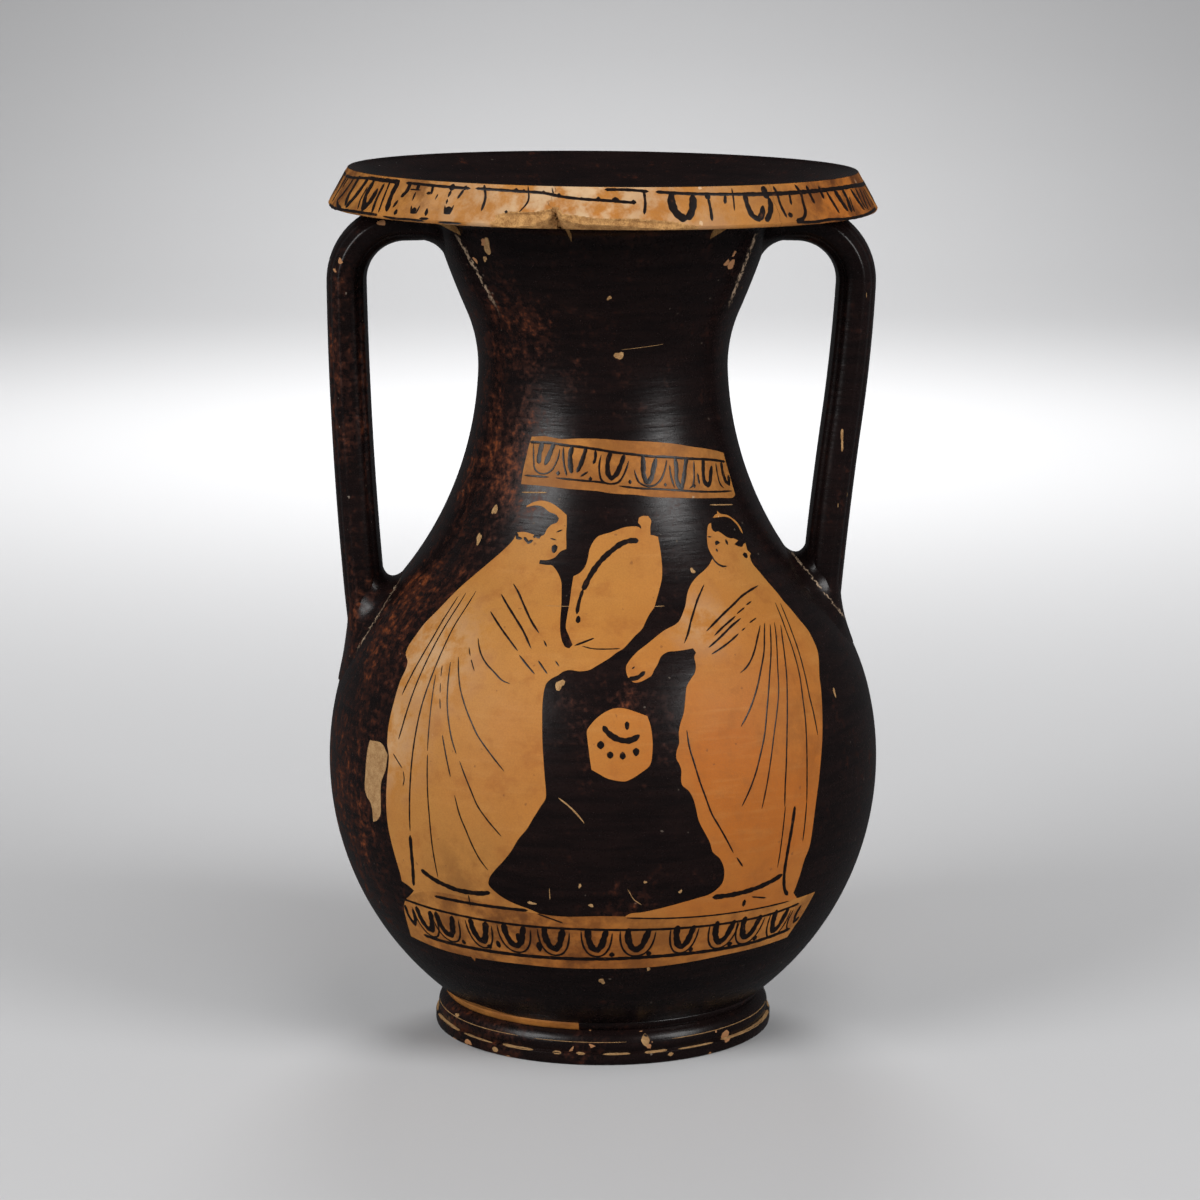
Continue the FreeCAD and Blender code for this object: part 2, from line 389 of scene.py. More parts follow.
def onBand(turn, height, lift=0.0):
    # a place on the tilted band, given by the height where it really is
    angle = np.radians(turn)
    plain = height - mouthValues["tilt"] * mouthValues["tiltOnBand"] * np.sin(angle)
    slope = math.atan2(bandLow[0] - bandTop[0], bandTop[1] - bandLow[1])
    radius = bandRadius(plain) + lift * math.cos(slope)
    return np.stack([radius * np.sin(angle), -radius * np.cos(angle), height + lift * math.sin(slope)], -1)


def mouthProfile(values):
    # half section of the ring, round from the joint: underside, corner, band, crest, funnel
    fillet, _ = followArcs(jointOuter, math.degrees(jointSlant), [values["underFillet"]], 0.8)
    steps = np.linspace(0, 1, 26)[1:-1, None]
    under = fillet[-1] + steps * (np.array(values["corner"][0]) - fillet[-1])
    steps = np.linspace(0, 1, 40)[1:, None]
    band = bandLow + steps * (bandTop - bandLow)
    funnel = smoothPath(values["funnel"], 1.4)
    middle = (jointInner + jointOuter)[None] / 2
    parts = [fillet, under, values["corner"], band, values["crest"], funnel, middle]
    kinds = [0, 0, 1, 1, 2, 2, 2]
    return np.concatenate(parts), np.repeat(kinds, [len(part) for part in parts])


def mouthPiece(values, first, last):
    # rings across the mouth from one break to the next; the breaks wander, alike on both their sides
    profile, kinds = mouthProfile(values)
    rows = int((last - first) / values["rowTurn"]) + 1
    share = np.linspace(0, 1, rows)[:, None]
    along = np.cumsum(np.hypot(*np.diff(profile, axis=0, prepend=profile[:1]).T))
    waves = np.sin(along * 0.9) + 0.6 * np.sin(along * 2.3 + 1) + 0.35 * np.sin(along * 5.1)
    wander = values["jag"] * waves
    reach = (last - first) / values["jagReach"]
    nearFirst, nearLast = np.clip(1 - share * reach, 0, 1), np.clip(1 - (1 - share) * reach, 0, 1)
    sameBreak = last if last < 180 else last - 360
    turn = (first + values["gap"] + (last - first - 2 * values["gap"]) * share
            + nearFirst * wander * math.sin(first) + nearLast * wander * math.sin(sameBreak))
    height = profile[:, 1] + 0 * turn
    radius = profile[:, 0] + 0 * turn
    edge, scar = np.array(values["edge"]), np.array(values["scar"])
    low = np.interp(turn, edge[:, 0], edge[:, 1])
    top, depth = (np.interp(turn, scar[:, 0], scar[:, column]) for column in (1, 2))
    outer = radius > values["lipFrom"]
    scarred = bandRadius(height) - depth * ease(top - height, 0, values["scarEdge"])
    radius = np.where(outer, np.minimum(radius, scarred), radius)
    broken = bandRadius(low) - values["edgeRun"] * (low - height)
    radius = np.where(outer & (height < low), np.minimum(radius, broken), radius)
    angle = np.radians(turn)
    rings = tilted(np.stack([radius * np.sin(angle), -radius * np.cos(angle), height], -1))
    # finish of each face: 0 black underside, 1 clay band, 2 black funnel, 3 raw clay in the chips
    face = np.broadcast_to(kinds, turn.shape).copy()
    chipped = (depth > 0.05) & (height < top) & (face == 1)
    chipped |= outer & (height < low + 0.05) & (low > values["wholeEdge"])
    face[chipped & (radius > values["rawFrom"])] = 3
    ends = np.full(2 * len(profile), 3)
    return ringed(rings), np.concatenate([face[:-1].ravel(), ends])


# Handles and the clay that lutes them on

handleValues = {
    "height": 239.2, "embed": 45.0, "width": 20.0, "thickness": 11.6, "rootThickness": 10.0, "flare": 3.0,
    "square": 2.35, "columns": 72, "step": 1.3, "calmEnds": 0.16, "inWall": 3.0,
    "right": {"side": 1, "lead": 11.5, "arcs": [(17.0, -93.0), (500.0, -4.5), (1200.0, 3.5)]},
    "left": {"side": -1, "lead": 12.5, "arcs": [(17.0, -90.5), (1200.0, -3.5), (1200.0, -2.0)]},
    # ribs and grooves of the section: (angle from outwards, height, spread), all mirrored front to back
    "ribs": [(0.0, 0.35, 0.22), (38.0, -0.45, 0.14), (74.0, 0.42, 0.13), (128.0, -0.55, 0.10),
             (146.0, 0.25, 0.10)],
}


def handleLine(handle):
    # the strap's middle line at even steps, its heading, and the share of its length run so far
    straight = 1e6  # a lead this wide in radius is a straight line
    lead = [(straight, -math.degrees(handle["lead"] / straight))]
    start = (handleValues["embed"], handleValues["height"])
    places, headings = followArcs(start, 0.0, lead + handle["arcs"], 0.3)
    run = np.cumsum(np.hypot(*np.diff(places, axis=0, prepend=places[:1]).T))
    even = np.linspace(0, run[-1], int(run[-1] / handleValues["step"]))
    return (np.stack([np.interp(even, run, places[:, 0]), np.interp(even, run, places[:, 1])], -1),
            np.interp(even, run, headings), even / run[-1])


def strapSize(share):
    # half thickness and half width: flared at both ends and thinned to the upper root
    width = handleValues["width"] + handleValues["flare"] * (2 * share - 1) ** 4
    thinned = (handleValues["thickness"] - handleValues["rootThickness"]) * (1 - share) ** 6
    thick = handleValues["thickness"] - thinned
    return thick / 2, width / 2


def strapSection(share, angle, lift=0.0):
    # a squared oval scaled to the strap's thickness and width, with rib heights added along its radius
    power = 2 / handleValues["square"]
    outwards = np.sign(np.cos(angle)) * np.abs(np.cos(angle)) ** power
    across = np.sign(np.sin(angle)) * np.abs(np.sin(angle)) ** power
    fold = np.abs((angle + math.pi) % (2 * math.pi) - math.pi)
    ribs = sum(height * np.exp(-((fold - math.radians(middle)) / spread) ** 2)
               for middle, height, spread in handleValues["ribs"])
    calm = ease(share, 0.0, handleValues["calmEnds"]) * ease(1 - share, 0.0, handleValues["calmEnds"])
    thick, width = strapSize(share)
    swell = 1 + (ribs * calm + lift) / np.hypot(outwards * thick, across * width)
    return outwards * swell * thick, across * swell * width


def onStrap(handle):
    # a strap's skin: a turn round its section (0 outwards, 90 to its front) and a distance along it
    line, headings, share = handleLine(handle)
    run = np.arange(len(line)) * handleValues["step"]

    def surface(turn, along, lift=0.0):
        angle = np.radians(turn)
        outwards, across = strapSection(np.interp(along, run, share), angle, lift)
        slant = np.radians(np.interp(along, run, headings))
        x = np.interp(along, run, line[:, 0]) - np.sin(slant) * outwards
        z = np.interp(along, run, line[:, 1]) + np.cos(slant) * outwards
        return np.stack([x * handle["side"], -across, z], -1)
    return surface


def handleRings(handle):
    # the strap's skin as rings, one at each step of its line
    along = np.arange(len(handleLine(handle)[0]))[:, None] * handleValues["step"]
    turn = np.arange(handleValues["columns"]) * 360 / handleValues["columns"] + 0 * along
    return onStrap(handle)(turn, along)


def isoSkin(field, low, step):
    # the closed skin where a sampled field is zero: each crossed cell has a place at the middle of its
    # crossings, and the four cells round each crossed edge make a face
    cells = np.array(field.shape) - 1
    total, count = np.zeros((*cells, 3)), np.zeros(cells)
    crossings = []
    for axis in range(3):
        order = [axis, (axis + 1) % 3, (axis + 2) % 3]
        first, after = field.transpose(order)[:-1], field.transpose(order)[1:]
        crossed = (first < 0) != (after < 0)
        share = np.where(crossed, first / np.where(crossed, first - after, 1.0), 0.0)
        crossings.append((order, first, crossed))
        rows, columns = crossed.shape[1] - 1, crossed.shape[2] - 1
        totals, counts = total.transpose(order + [3]), count.transpose(order)
        for j, k in ((0, 0), (1, 0), (1, 1), (0, 1)):
            hit, part = crossed[:, j:j + rows, k:k + columns], share[:, j:j + rows, k:k + columns]
            totals[..., order[0]] += hit * (np.arange(len(hit))[:, None, None] + part)
            totals[..., order[1]] += hit * (np.arange(rows)[:, None] + j)
            totals[..., order[2]] += hit * (np.arange(columns) + k)
            counts += hit
    number = np.cumsum(count.ravel() > 0).reshape(count.shape) - 1
    quads = []
    for order, first, crossed in crossings:
        named = number.transpose(order)
        around = np.stack([named[:, :-1, :-1], named[:, 1:, :-1], named[:, 1:, 1:], named[:, :-1, 1:]], -1)
        hit, leaving = crossed[:, 1:-1, 1:-1], first[:, 1:-1, 1:-1] < 0
        quads += [around[hit & leaving], around[hit & ~leaving][:, ::-1]]
    places = low + step * total[count > 0] / count[count > 0][:, None]
    return places, np.concatenate(quads), np.empty((0, 3), int)


clayValues = {
    "over": 0.12, "strapFade": 0.06, "wallFade": 0.03, "reach": 1.1, "inWall": 2.5,
    "lumpsAcross": 0.31, "lumpsUp": 0.23,
}


def rootClay(handle, node, values):
    # clay worked into the corner between strap and wall: a soft minimum of the distances to both
    found = cadPlaces(node) * [handle["side"], 1, 1]
    low, high = found.min(0) - values["room"], found.max(0) + values["room"]
    x, y, z = (np.arange(*ends, values["cell"]) for ends in zip(low, high))
    line, headings, share = handleLine(handle)
    flat = np.stack(np.meshgrid(x, z, indexing="ij"), -1)
    near = np.argmin(np.linalg.norm(flat[..., None, :] - line, axis=-1), -1)
    slant, away = np.radians(headings[near]), flat - line[near]
    thick, width = (part[:, None, :] for part in strapSize(share[near]))
    outwards = (-np.sin(slant) * away[..., 0] + np.cos(slant) * away[..., 1])[:, None, :]
    across = y[:, None] + 0 * outwards
    power = handleValues["square"]
    reach = (np.abs(outwards / thick) ** power + np.abs(across / width) ** power) ** (1 / power)
    strap = np.hypot(outwards, across) * (1 - 1 / np.maximum(reach, 0.05))
    skin = np.concatenate([outline, mouthProfile(mouthValues)[0][1:44]])
    steep = np.hypot(1, np.gradient(skin[:, 0]) / np.maximum(np.gradient(skin[:, 1]), 1e-3))
    wall = np.hypot(x[:, None, None], y[:, None]) - np.interp(z, skin[:, 1], skin[:, 0])
    wall = wall / np.interp(z, skin[:, 1], steep)
    lumps = (np.sin(y[:, None] * clayValues["lumpsAcross"] + values["seed"])
             * np.sin(z * clayValues["lumpsUp"] + values["seed"]))
    soft = values["soft"] * (1 + values["lumps"] * lumps)
    toStrap = strap + clayValues["over"] + clayValues["strapFade"] * np.maximum(wall, 0)
    toWall = wall + clayValues["over"] + clayValues["wallFade"] * np.maximum(strap, 0)
    field = np.minimum(toStrap, toWall) - np.maximum(soft - np.abs(toStrap - toWall), 0) ** 2 / (4 * soft)
    far = clayValues["reach"] * soft
    field = np.maximum.reduce([field, strap - far, wall - far, -wall - clayValues["inWall"]])
    for side in (0, -1):
        field[side], field[:, side], field[:, :, side] = 1, 1, 1
    places, quads, tris = isoSkin(field, low, values["cell"])
    return places * [handle["side"], 1, 1], quads, tris


lutingValues = {
    "luting_right_upper": {"soft": 7.0, "room": 5.0, "cell": 0.55, "lumps": 0.12, "seed": 0.6},
    "luting_left_upper": {"soft": 7.5, "room": 5.0, "cell": 0.55, "lumps": 0.18, "seed": 2.1},
    "luting_right_lower": {"soft": 9.0, "room": 6.0, "cell": 0.6, "lumps": 0.08, "seed": 1.3},
    "luting_left_lower": {"soft": 9.0, "room": 6.0, "cell": 0.6, "lumps": 0.14, "seed": 3.0},
}


# Finishes

finishValues = {
    "slipDeep": (18, 12, 12), "slipStreak": (27, 17, 16), "slipBrown": (62, 31, 21), "slipRed": (126, 64, 30),
    "dust": (150, 135, 120), "flake": (172, 122, 82), "crack": (166, 142, 118),
    "clayTan": (184, 126, 60), "clayOrange": (180, 102, 34), "clayCloud": (156, 92, 40),
    "clayPale": (202, 148, 84), "clayGrain": (140, 88, 48), "claySpot": (120, 74, 42),
    # of these clay colours, the whitish pale beside the scuff is a painted sheen, not a mark on the clay
    "clayScuff": (232, 205, 170), "clayPaintedSheen": (216, 188, 150), "clayStain": (96, 54, 26),
    "line": (24, 17, 16), "lineDry": (92, 56, 34),
}
shades = {name: tint(*values) for name, values in finishValues.items()}
burntLift = 0.14  # how far a fully burnt place is moved towards brown and red
surfaceOutputs = {"Colour": "Color", "Roughness": "Float", "Height": "Float"}


def speckGroup():
    # small scattered flecks: the middle of a Voronoi cell, kept only in some cells
    tree, inputs, outputs = newGroup("scatteredFlecks", {"Place": "Vector", "Scale": "Float", "Size": "Float",
                                                         "Share": "Float"}, {"Mask": "Float"})
    warp = put(tree, "TexNoise", {"Vector": inputs["Place"], "Scale": 700.0, "Detail": 2.0})
    bend = {0: warp.outputs["Color"], 1: (0.0012, 0.0012, 0.0012), 2: inputs["Place"]}
    bent = put(tree, "VectorMath", bend, operation="MULTIPLY_ADD").outputs[0]
    cells = put(tree, "TexVoronoi", {"Vector": bent, "Scale": inputs["Scale"], "Randomness": 1.0})
    kept = put(tree, "SeparateColor", {"Color": cells.outputs["Color"]})
    near = sums(tree, "LESS_THAN", cells.outputs["Distance"], times(tree, inputs["Size"], kept.outputs[1]))
    chosen = sums(tree, "LESS_THAN", kept.outputs[0], inputs["Share"])
    tree.links.new(times(tree, near, chosen), outputs["Mask"])
    return tree


flecks = speckGroup()


def fleckMask(tree, place, scale, size, share):
    return use(tree, flecks, {"Place": place, "Scale": scale, "Size": size, "Share": share})["Mask"]


def glossGroup():
    # black slip: near black, burnt red-brown where the kiln left it thin, with flecks and turning streaks
    tree, inputs, outputs = newGroup("blackSlip", {"Place": "Vector", "Burnt": "Float", "Dust": "Float",
                                                   "Flaked": "Float", "Crack": "Float"}, surfaceOutputs)
    place = inputs["Place"]
    broad = cloud(tree, place, 120.0, 5.0, 0.66, 3.1, (1, 1, 0.45))
    small = cloud(tree, place, 480.0, 5.0, 0.72, 7.7)
    streak = cloud(tree, place, 120.0, 4.0, 0.6, 1.3, (0.5, 0.5, 4.0))
    fine = cloud(tree, place, 1500.0, 3.0, 0.6, 5.2)
    lifted = total(tree, (inputs["Burnt"], burntLift), (small, 0.5), (broad, 0.35), (streak, 0.15))
    warm = between(tree, lifted, 0.55, 0.70)
    hot = between(tree, lifted, 0.63, 0.77)
    deep = mixed(tree, between(tree, streak, 0.3, 0.7), shades["slipDeep"], shades["slipStreak"])
    red = mixed(tree, hot, mixed(tree, warm, deep, shades["slipBrown"]), shades["slipRed"])
    dusty = times(tree, fleckMask(tree, place, 420.0, 0.16, 0.10), inputs["Dust"])
    powdered = mixed(tree, times(tree, dusty, 0.45), red, shades["dust"])
    lost = sums(tree, "MAXIMUM", times(tree, fleckMask(tree, place, 130.0, 0.10, 0.05), 0.85),
                fleckMask(tree, place, 300.0, 0.62, inputs["Flaked"]))
    chipped = mixed(tree, lost, powdered, shades["flake"])
    tree.links.new(mixed(tree, inputs["Crack"], chipped, shades["crack"]), outputs["Colour"])
    marked = sums(tree, "MAXIMUM", dusty, lost)
    dull = total(tree, (marked, 0.4), (small, 0.16), (warm, 0.18), 0.20, clamp=True)
    tree.links.new(dull, outputs["Roughness"])
    tree.links.new(total(tree, (lost, -0.8), (streak, 1.0), (fine, 0.10), (small, 0.25)), outputs["Height"])
    return tree


def clayGroup():
    # bare fired clay: tan to orange, softly clouded, with dark grain, pale scuffs, faint stains and whitish
    # patches of painted sheen
    tree, inputs, outputs = newGroup("firedClay", {"Place": "Vector", "Warmth": "Float", "Wear": "Float",
                                                   "PaintedSheen": "Float", "Stain": "Float"}, surfaceOutputs)
    place = inputs["Place"]
    broad = cloud(tree, place, 38.0, 4.0, 0.6, 2.2)
    patch = cloud(tree, place, 150.0, 5.0, 0.65, 9.4)
    grain = cloud(tree, place, 2200.0, 4.0, 0.7, 4.1)
    streak = cloud(tree, place, 160.0, 4.0, 0.6, 6.3, (0.35, 0.35, 3.0))
    soil = cloud(tree, place, 85.0, 5.0, 0.7, 13.3)
    spots = fleckMask(tree, place, 480.0, 0.22, 0.12)
    scuffs = fleckMask(tree, place, 150.0, 0.20, inputs["Wear"])
    warmth = total(tree, (broad, 0.9), sums(tree, "SUBTRACT", inputs["Warmth"], 0.45), clamp=True)
    colour = mixed(tree, warmth, shades["clayTan"], shades["clayOrange"])
    layers = [
        (between(tree, patch, 0.48, 0.72, 0.0, 0.5), "clayCloud"),
        (between(tree, streak, 0.50, 0.78, 0.0, 0.20), "clayPale"),
        (between(tree, grain, 0.35, 0.75, 0.0, 0.30), "clayGrain"),
        (times(tree, spots, 0.5), "claySpot"),
        (times(tree, scuffs, 0.6), "clayScuff"),
        # whitish patches of painted sheen: lamp light laid into the clay's colour where it would shine
        (times(tree, inputs["PaintedSheen"], between(tree, patch, 0.36, 0.60)), "clayPaintedSheen"),
        (times(tree, inputs["Stain"], between(tree, soil, 0.34, 0.62)), "clayStain"),
    ]
    for share, shade in layers:
        colour = mixed(tree, share, colour, shades[shade])
    tree.links.new(colour, outputs["Colour"])
    tree.links.new(total(tree, (scuffs, 0.2), (patch, 0.25), 0.42, clamp=True), outputs["Roughness"])
    tree.links.new(total(tree, (spots, -0.5), (grain, 0.35), (patch, 0.5), (streak, 0.5)), outputs["Height"])
    return tree


blackSlip, firedClay = glossGroup(), clayGroup()


def spotWeight(tree, place, spots):
    # the strongest of several soft round areas, each a middle in mm, a reach in mm and a strength
    best = 0.0
    for middle, reach, strength in spots:
        ends = {0: place, 1: tuple(value * mm for value in middle)}
        away = put(tree, "VectorMath", ends, operation="DISTANCE").outputs["Value"]
        best = sums(tree, "MAXIMUM", between(tree, away, reach * mm, 0.0, 0.0, strength), best)
    return best


def crackMask(tree, place, cracks):
    # where the skin meets a plane, near a middle: the plane has a facing and a distance, and wavers a little
    if not cracks:
        return 0.0
    waver = total(tree, (cloud(tree, place, 700.0, 4.0, 0.7, 2.9), 0.0022), -0.0011)
    worn = between(tree, cloud(tree, place, 900.0, 3.0, 0.6, 6.1), 0.36, 0.56)
    best = 0.0
    for facing, distance, width, middle, reach in cracks:
        side = put(tree, "VectorMath", {0: place, 1: facing}, operation="DOT_PRODUCT").outputs["Value"]
        away = sums(tree, "ABSOLUTE", sums(tree, "ADD", sums(tree, "SUBTRACT", side, distance * mm), waver))
        line = between(tree, away, width * mm, width * 0.3 * mm)
        near = sums(tree, "MULTIPLY", spotWeight(tree, place, [(middle, reach, 3.0)]), 1.0, clamp=True)
        best = sums(tree, "MAXIMUM", times(tree, line, near), best)
    return times(tree, best, worn)


def coated(finish, tree, shader, made, strength, depth):
    # a group's colour, roughness and height on a material's shader
    tree.links.new(made["Colour"], shader.inputs["Base Color"])
    tree.links.new(made["Roughness"], shader.inputs["Roughness"])
    bumped(tree, shader, made["Height"], strength, depth)
    return finish


def slipFinish(name, burntSpots, always, dust, flaked=(), cracks=()):
    finish, tree, shader, place = newFinish(name, {"Specular IOR Level": 0.22})
    burnt = sums(tree, "ADD", spotWeight(tree, place, burntSpots), always)
    made = use(tree, blackSlip, {"Place": place, "Burnt": burnt, "Dust": dust,
                                 "Crack": crackMask(tree, place, cracks),
                                 "Flaked": spotWeight(tree, place, flaked)})
    return coated(finish, tree, shader, made, 0.35, 0.00035)


# a clay finish: warm spots, wear, spots of painted sheen (whitish light laid into its colour) and stains
def clayFinish(name, warmSpots, always, wear, paintedSheenSpots, stainSpots, stain):
    finish, tree, shader, place = newFinish(name, {"Specular IOR Level": 0.18})
    warmth = sums(tree, "ADD", spotWeight(tree, place, warmSpots), always)
    soil = sums(tree, "ADD", spotWeight(tree, place, stainSpots), stain, clamp=True)
    made = use(tree, firedClay, {"Place": place, "Warmth": warmth, "Wear": wear, "Stain": soil,
                                 "PaintedSheen": spotWeight(tree, place, paintedSheenSpots)})
    return coated(finish, tree, shader, made, 0.5, 0.00025)


def rawFinish(name, dark, light):
    # broken or worn clay: rough and uneven
    finish, tree, shader, place = newFinish(name, {"Specular IOR Level": 0.2, "Roughness": 0.9})
    lumps = cloud(tree, place, 420.0, 6.0, 0.75, 1.9)
    grain = cloud(tree, place, 2600.0, 3.0, 0.7, 8.8)
    share = total(tree, (grain, 0.4), (lumps, 0.7))
    colour = mixed(tree, between(tree, share, 0.4, 0.72), tint(*dark), tint(*light))
    tree.links.new(colour, shader.inputs["Base Color"])
    bumped(tree, shader, share, 0.8, 0.0006)
    return finish


def reliefFinish():
    # thick black drawing line, brown where the brush ran dry
    values = {"Roughness": 0.32, "Specular IOR Level": 0.22}
    finish, tree, shader, place = newFinish("reliefLineBlack", values)
    dry = cloud(tree, place, 520.0, 5.0, 0.7, 6.6)
    colour = mixed(tree, between(tree, dry, 0.58, 0.78), shades["line"], shades["lineDry"])
    tree.links.new(colour, shader.inputs["Base Color"])
    bumped(tree, shader, dry, 0.3, 0.0003)
    return finish


# each crack: its plane's facing and distance, the line's width, and the middle and reach of what shows of it
rootCracks = [
    ((-0.7731, -0.069, -0.6305), -132.45, 0.24, (62.4, -12, 134.7), 20),
    ((-0.8532, 0.0466, 0.5195), 120.6, 0.18, (-65.7, -12, 125.2), 15),
    ((-0.8747, -0.0749, -0.4788), -75.44, 0.5, (-36.5, -20, 227), 17),
    ((-0.935, 0.0674, 0.3482), 40.42, 0.5, (41, -18, 229), 15),
]
# each spot: its middle, its reach and its strength
finishSpots = {
    "wallBurnt": [((-75, -30, 75), 60, 0.8), ((-62, -35, 130), 50, 1.0), ((-40, -35, 175), 45, 1.05),
                  ((-30, -34, 205), 38, 0.85), ((4, -82, 112), 24, 0.7), ((8, -80, 55), 20, 0.5),
                  ((-30, 78, 120), 60, 0.6), ((60, 50, 60), 45, 0.5)],
    "rootsFlaked": [((-33, -31, 235), 10, 0.9), ((-41, -18, 235.5), 5, 0.9), ((39, -22, 231), 12, 0.4),
                    ((-67, -8, 242), 7, 0.5), ((-76, -9, 228), 5, 0.4)],
    "mouthBurnt": [((-60, -40, 250), 40, 0.5)],
    "footBurnt": [((-40, -30, 5), 45, 0.5)],
    "footFlaked": [((12, -48, 6.5), 6, 0.9), ((-40, -30, 3), 22, 0.35), ((40, -30, 3), 20, 0.25),
                   ((-5, -50, 1), 12, 0.4)],
    "leftHandleBurnt": [((-84, -8, 190), 60, 0.6), ((-78, -8, 120), 40, 0.7)],
    "rightHandleBurnt": [((80, 0, 150), 40, 0.3)],
    "figureWarm": [((45, -70, 80), 85, 0.95), ((38, -74, 92), 34, 1.25), ((10, -75, 175), 30, 0.35)],
    # whitish patches of painted sheen on the figures, most of them to the upper left
    "figurePaintedSheen": [((-55, -58, 126), 30, 0.6), ((-62, -50, 98), 26, 0.4), ((30, -62, 136), 18, 0.45),
                   ((10, -78, 140), 18, 0.3)],
    "figureStain": [((-40, -72, 58), 22, 0.45), ((62, -52, 100), 26, 0.35), ((8, -84, 128), 12, 0.25)],
    "patternWarm": [((10, -75, 175), 60, 0.5), ((0, -70, 40), 70, 0.5)],
    # a patch of painted sheen on the upper pattern band
    "patternPaintedSheen": [((-30, -50, 174), 22, 0.4)],
    "patternStain": [((-20, -62, 40), 45, 0.45)],
    "bandWarm": [((0, -78, 250), 50, 0.25), ((70, -35, 252), 50, 0.8)],
    # painted sheen: the front of the band made paler, as if lit more strongly
    "bandPaintedSheen": [((-10, -78, 250), 62, 0.75)],
    "bandStain": [((72, -32, 250), 52, 0.95), ((-76, -20, 249), 40, 0.8), ((-52, -58, 254), 16, 0.7)],
}
roots = finishSpots["rootsFlaked"], rootCracks
wallBlack = slipFinish("wallSlipBlack", finishSpots["wallBurnt"], 0.05, 0.5, *roots)
insideBlack = slipFinish("insideSlipBlack", [], 0.1, 0.6)
mouthBlack = slipFinish("mouthSlipBlack", finishSpots["mouthBurnt"], 0.1, 0.4)
footBlack = slipFinish("footSlipBlack", finishSpots["footBurnt"], 0.15, 1.0, finishSpots["footFlaked"])
leftHandleBlack = slipFinish("leftHandleSlipBlack", finishSpots["leftHandleBurnt"], 0.1, 1.0, *roots)
rightHandleBlack = slipFinish("rightHandleSlipBlack", finishSpots["rightHandleBurnt"], 0.0, 0.5, *roots)
clayStrengths = {"figure": (0.10, 0.05, 0.06), "pattern": (0.15, 0.10, 0.5), "band": (0.08, 0.16, 0.16)}
# each clay finish takes its warm spots, its spots of painted sheen and its stains by name
figureClay, patternClay, bandClay = (
    clayFinish(name + "Clay", finishSpots[name + "Warm"], warmth, wear, finishSpots[name + "PaintedSheen"],
               finishSpots[name + "Stain"], stain) for name, (warmth, wear, stain) in clayStrengths.items())
wornClay = rawFinish("wornClay", (148, 110, 70), (188, 150, 104))
brokenClay = rawFinish("brokenClay", (138, 96, 54), (204, 156, 98))
reliefBlack = reliefFinish()
print("finishes:", len(bpy.data.materials))


# Build the jar

wallGrid = wallRings(wallValues)
wallShape = ringed(wallGrid)
inside = np.repeat(np.arange(len(wallGrid) - 1) >= np.argmax(wallGrid[:, 0, 2]), wallGrid.shape[1])
capped = np.repeat([False, True], wallGrid.shape[1])
skinOf = np.concatenate([inside, capped]).astype(int)  # 0 the outer skin, 1 from the highest ring inwards
wallNodes = ("belly", "shoulder", "neck")
makePiece("wall", wallShape, [wallBlack, insideBlack], wallNodes, skinOf, 35)
print("wall: triangles", 2 * len(wallShape[1]) + len(wallShape[2]))

footProfile = np.concatenate([footSkin, footValues["hidden"]])
footShape = closedLathe(footProfile, footValues["around"])
makePiece("foot", footShape, [footBlack], ("foot",), sharp=35)
beadShape = closedLathe(footValues["bead"], footValues["around"])
beadTurn = turnOf(beadShape[0][beadShape[1]].mean(1))
beadClay = ((beadTurn > footValues["beadClay"][0]) & (beadTurn < footValues["beadClay"][1])).astype(int)
makePiece("footBead", beadShape, [footBlack, patternClay], ("luting_foot",), beadClay)
print("foot and its bead of clay")

first, second, third = mouthValues["breaks"]
stretches = {"mouth": (third, first + 360), "mouth_sherd_left": (first, second),
             "mouth_sherd_right": (second, third)}
mouthFinishes = [mouthBlack, bandClay, mouthBlack, brokenClay]
for node, (start, end) in stretches.items():
    shape, finishOf = mouthPiece(mouthValues, start, end)
    makePiece(node + "_fired", shape, mouthFinishes, (node,), finishOf, 40)
print("mouth: three pieces of the mended ring")

for side, finish in (("right", rightHandleBlack), ("left", leftHandleBlack)):
    handle = handleValues[side]
    strap = ringed(keptInWall(handleRings(handle), handleValues["inWall"]))
    makePiece("handle_" + side + "_strap", strap, [finish], ("handle_" + side,))
    for place in ("upper", "lower"):
        node = "luting_" + side + "_" + place
        shape = rootClay(handle, node, lutingValues[node])
        makePiece(node + "_clay", shape, [finish], (node,))
        print(node + ": triangles", 2 * len(shape[1]))
print("handles and their luting")


# Painting: bare clay left in the black, and black lines drawn on it. A table is pairs of a turn and a height.

paintValues = {
    "cell": 1.5, "edgeStep": 0.6, "sink": 0.25, "rowShare": 0.87, "edgeRoom": 0.45, "batches": 12,
    "strokeStep": 0.7, "wideStep": 0.45, "wideFrom": 1.4, "fineUnder": 0.8, "strokeColumns": 8,
    "strokeLift": 0.10, "crown": 0.06, "strokeSink": 0.12, "taper": 0.8, "fineTaper": 0.22,
    "longestTaper": 4.0, "bluntEnd": 0.03,
    "waver": ((0.10, 1.3, 1), (0.08, 3.3, 2)),  # share of the width, turns per mm, share of the seed
}


def degreeWidth(surface, height):
    # how many mm one degree is worth at a height
    ends = surface(np.array([0.0, 1.0]), np.full(2, height))
    return float(np.linalg.norm(ends[1] - ends[0]))


def insideLoop(places, loop):
    # even-odd rule: a place is inside if a level ray from it crosses the loop an odd number of times
    after = np.roll(loop, -1, axis=0)
    x, y = places[:, :1], places[:, 1:]
    crosses = (loop[:, 1] > y) != (after[:, 1] > y)
    rise = np.where(after[:, 1] == loop[:, 1], 1.0, after[:, 1] - loop[:, 1])
    where = loop[:, 0] + (y - loop[:, 1]) / rise * (after[:, 0] - loop[:, 0])
    return (crosses & (x < where)).sum(1) % 2 == 1


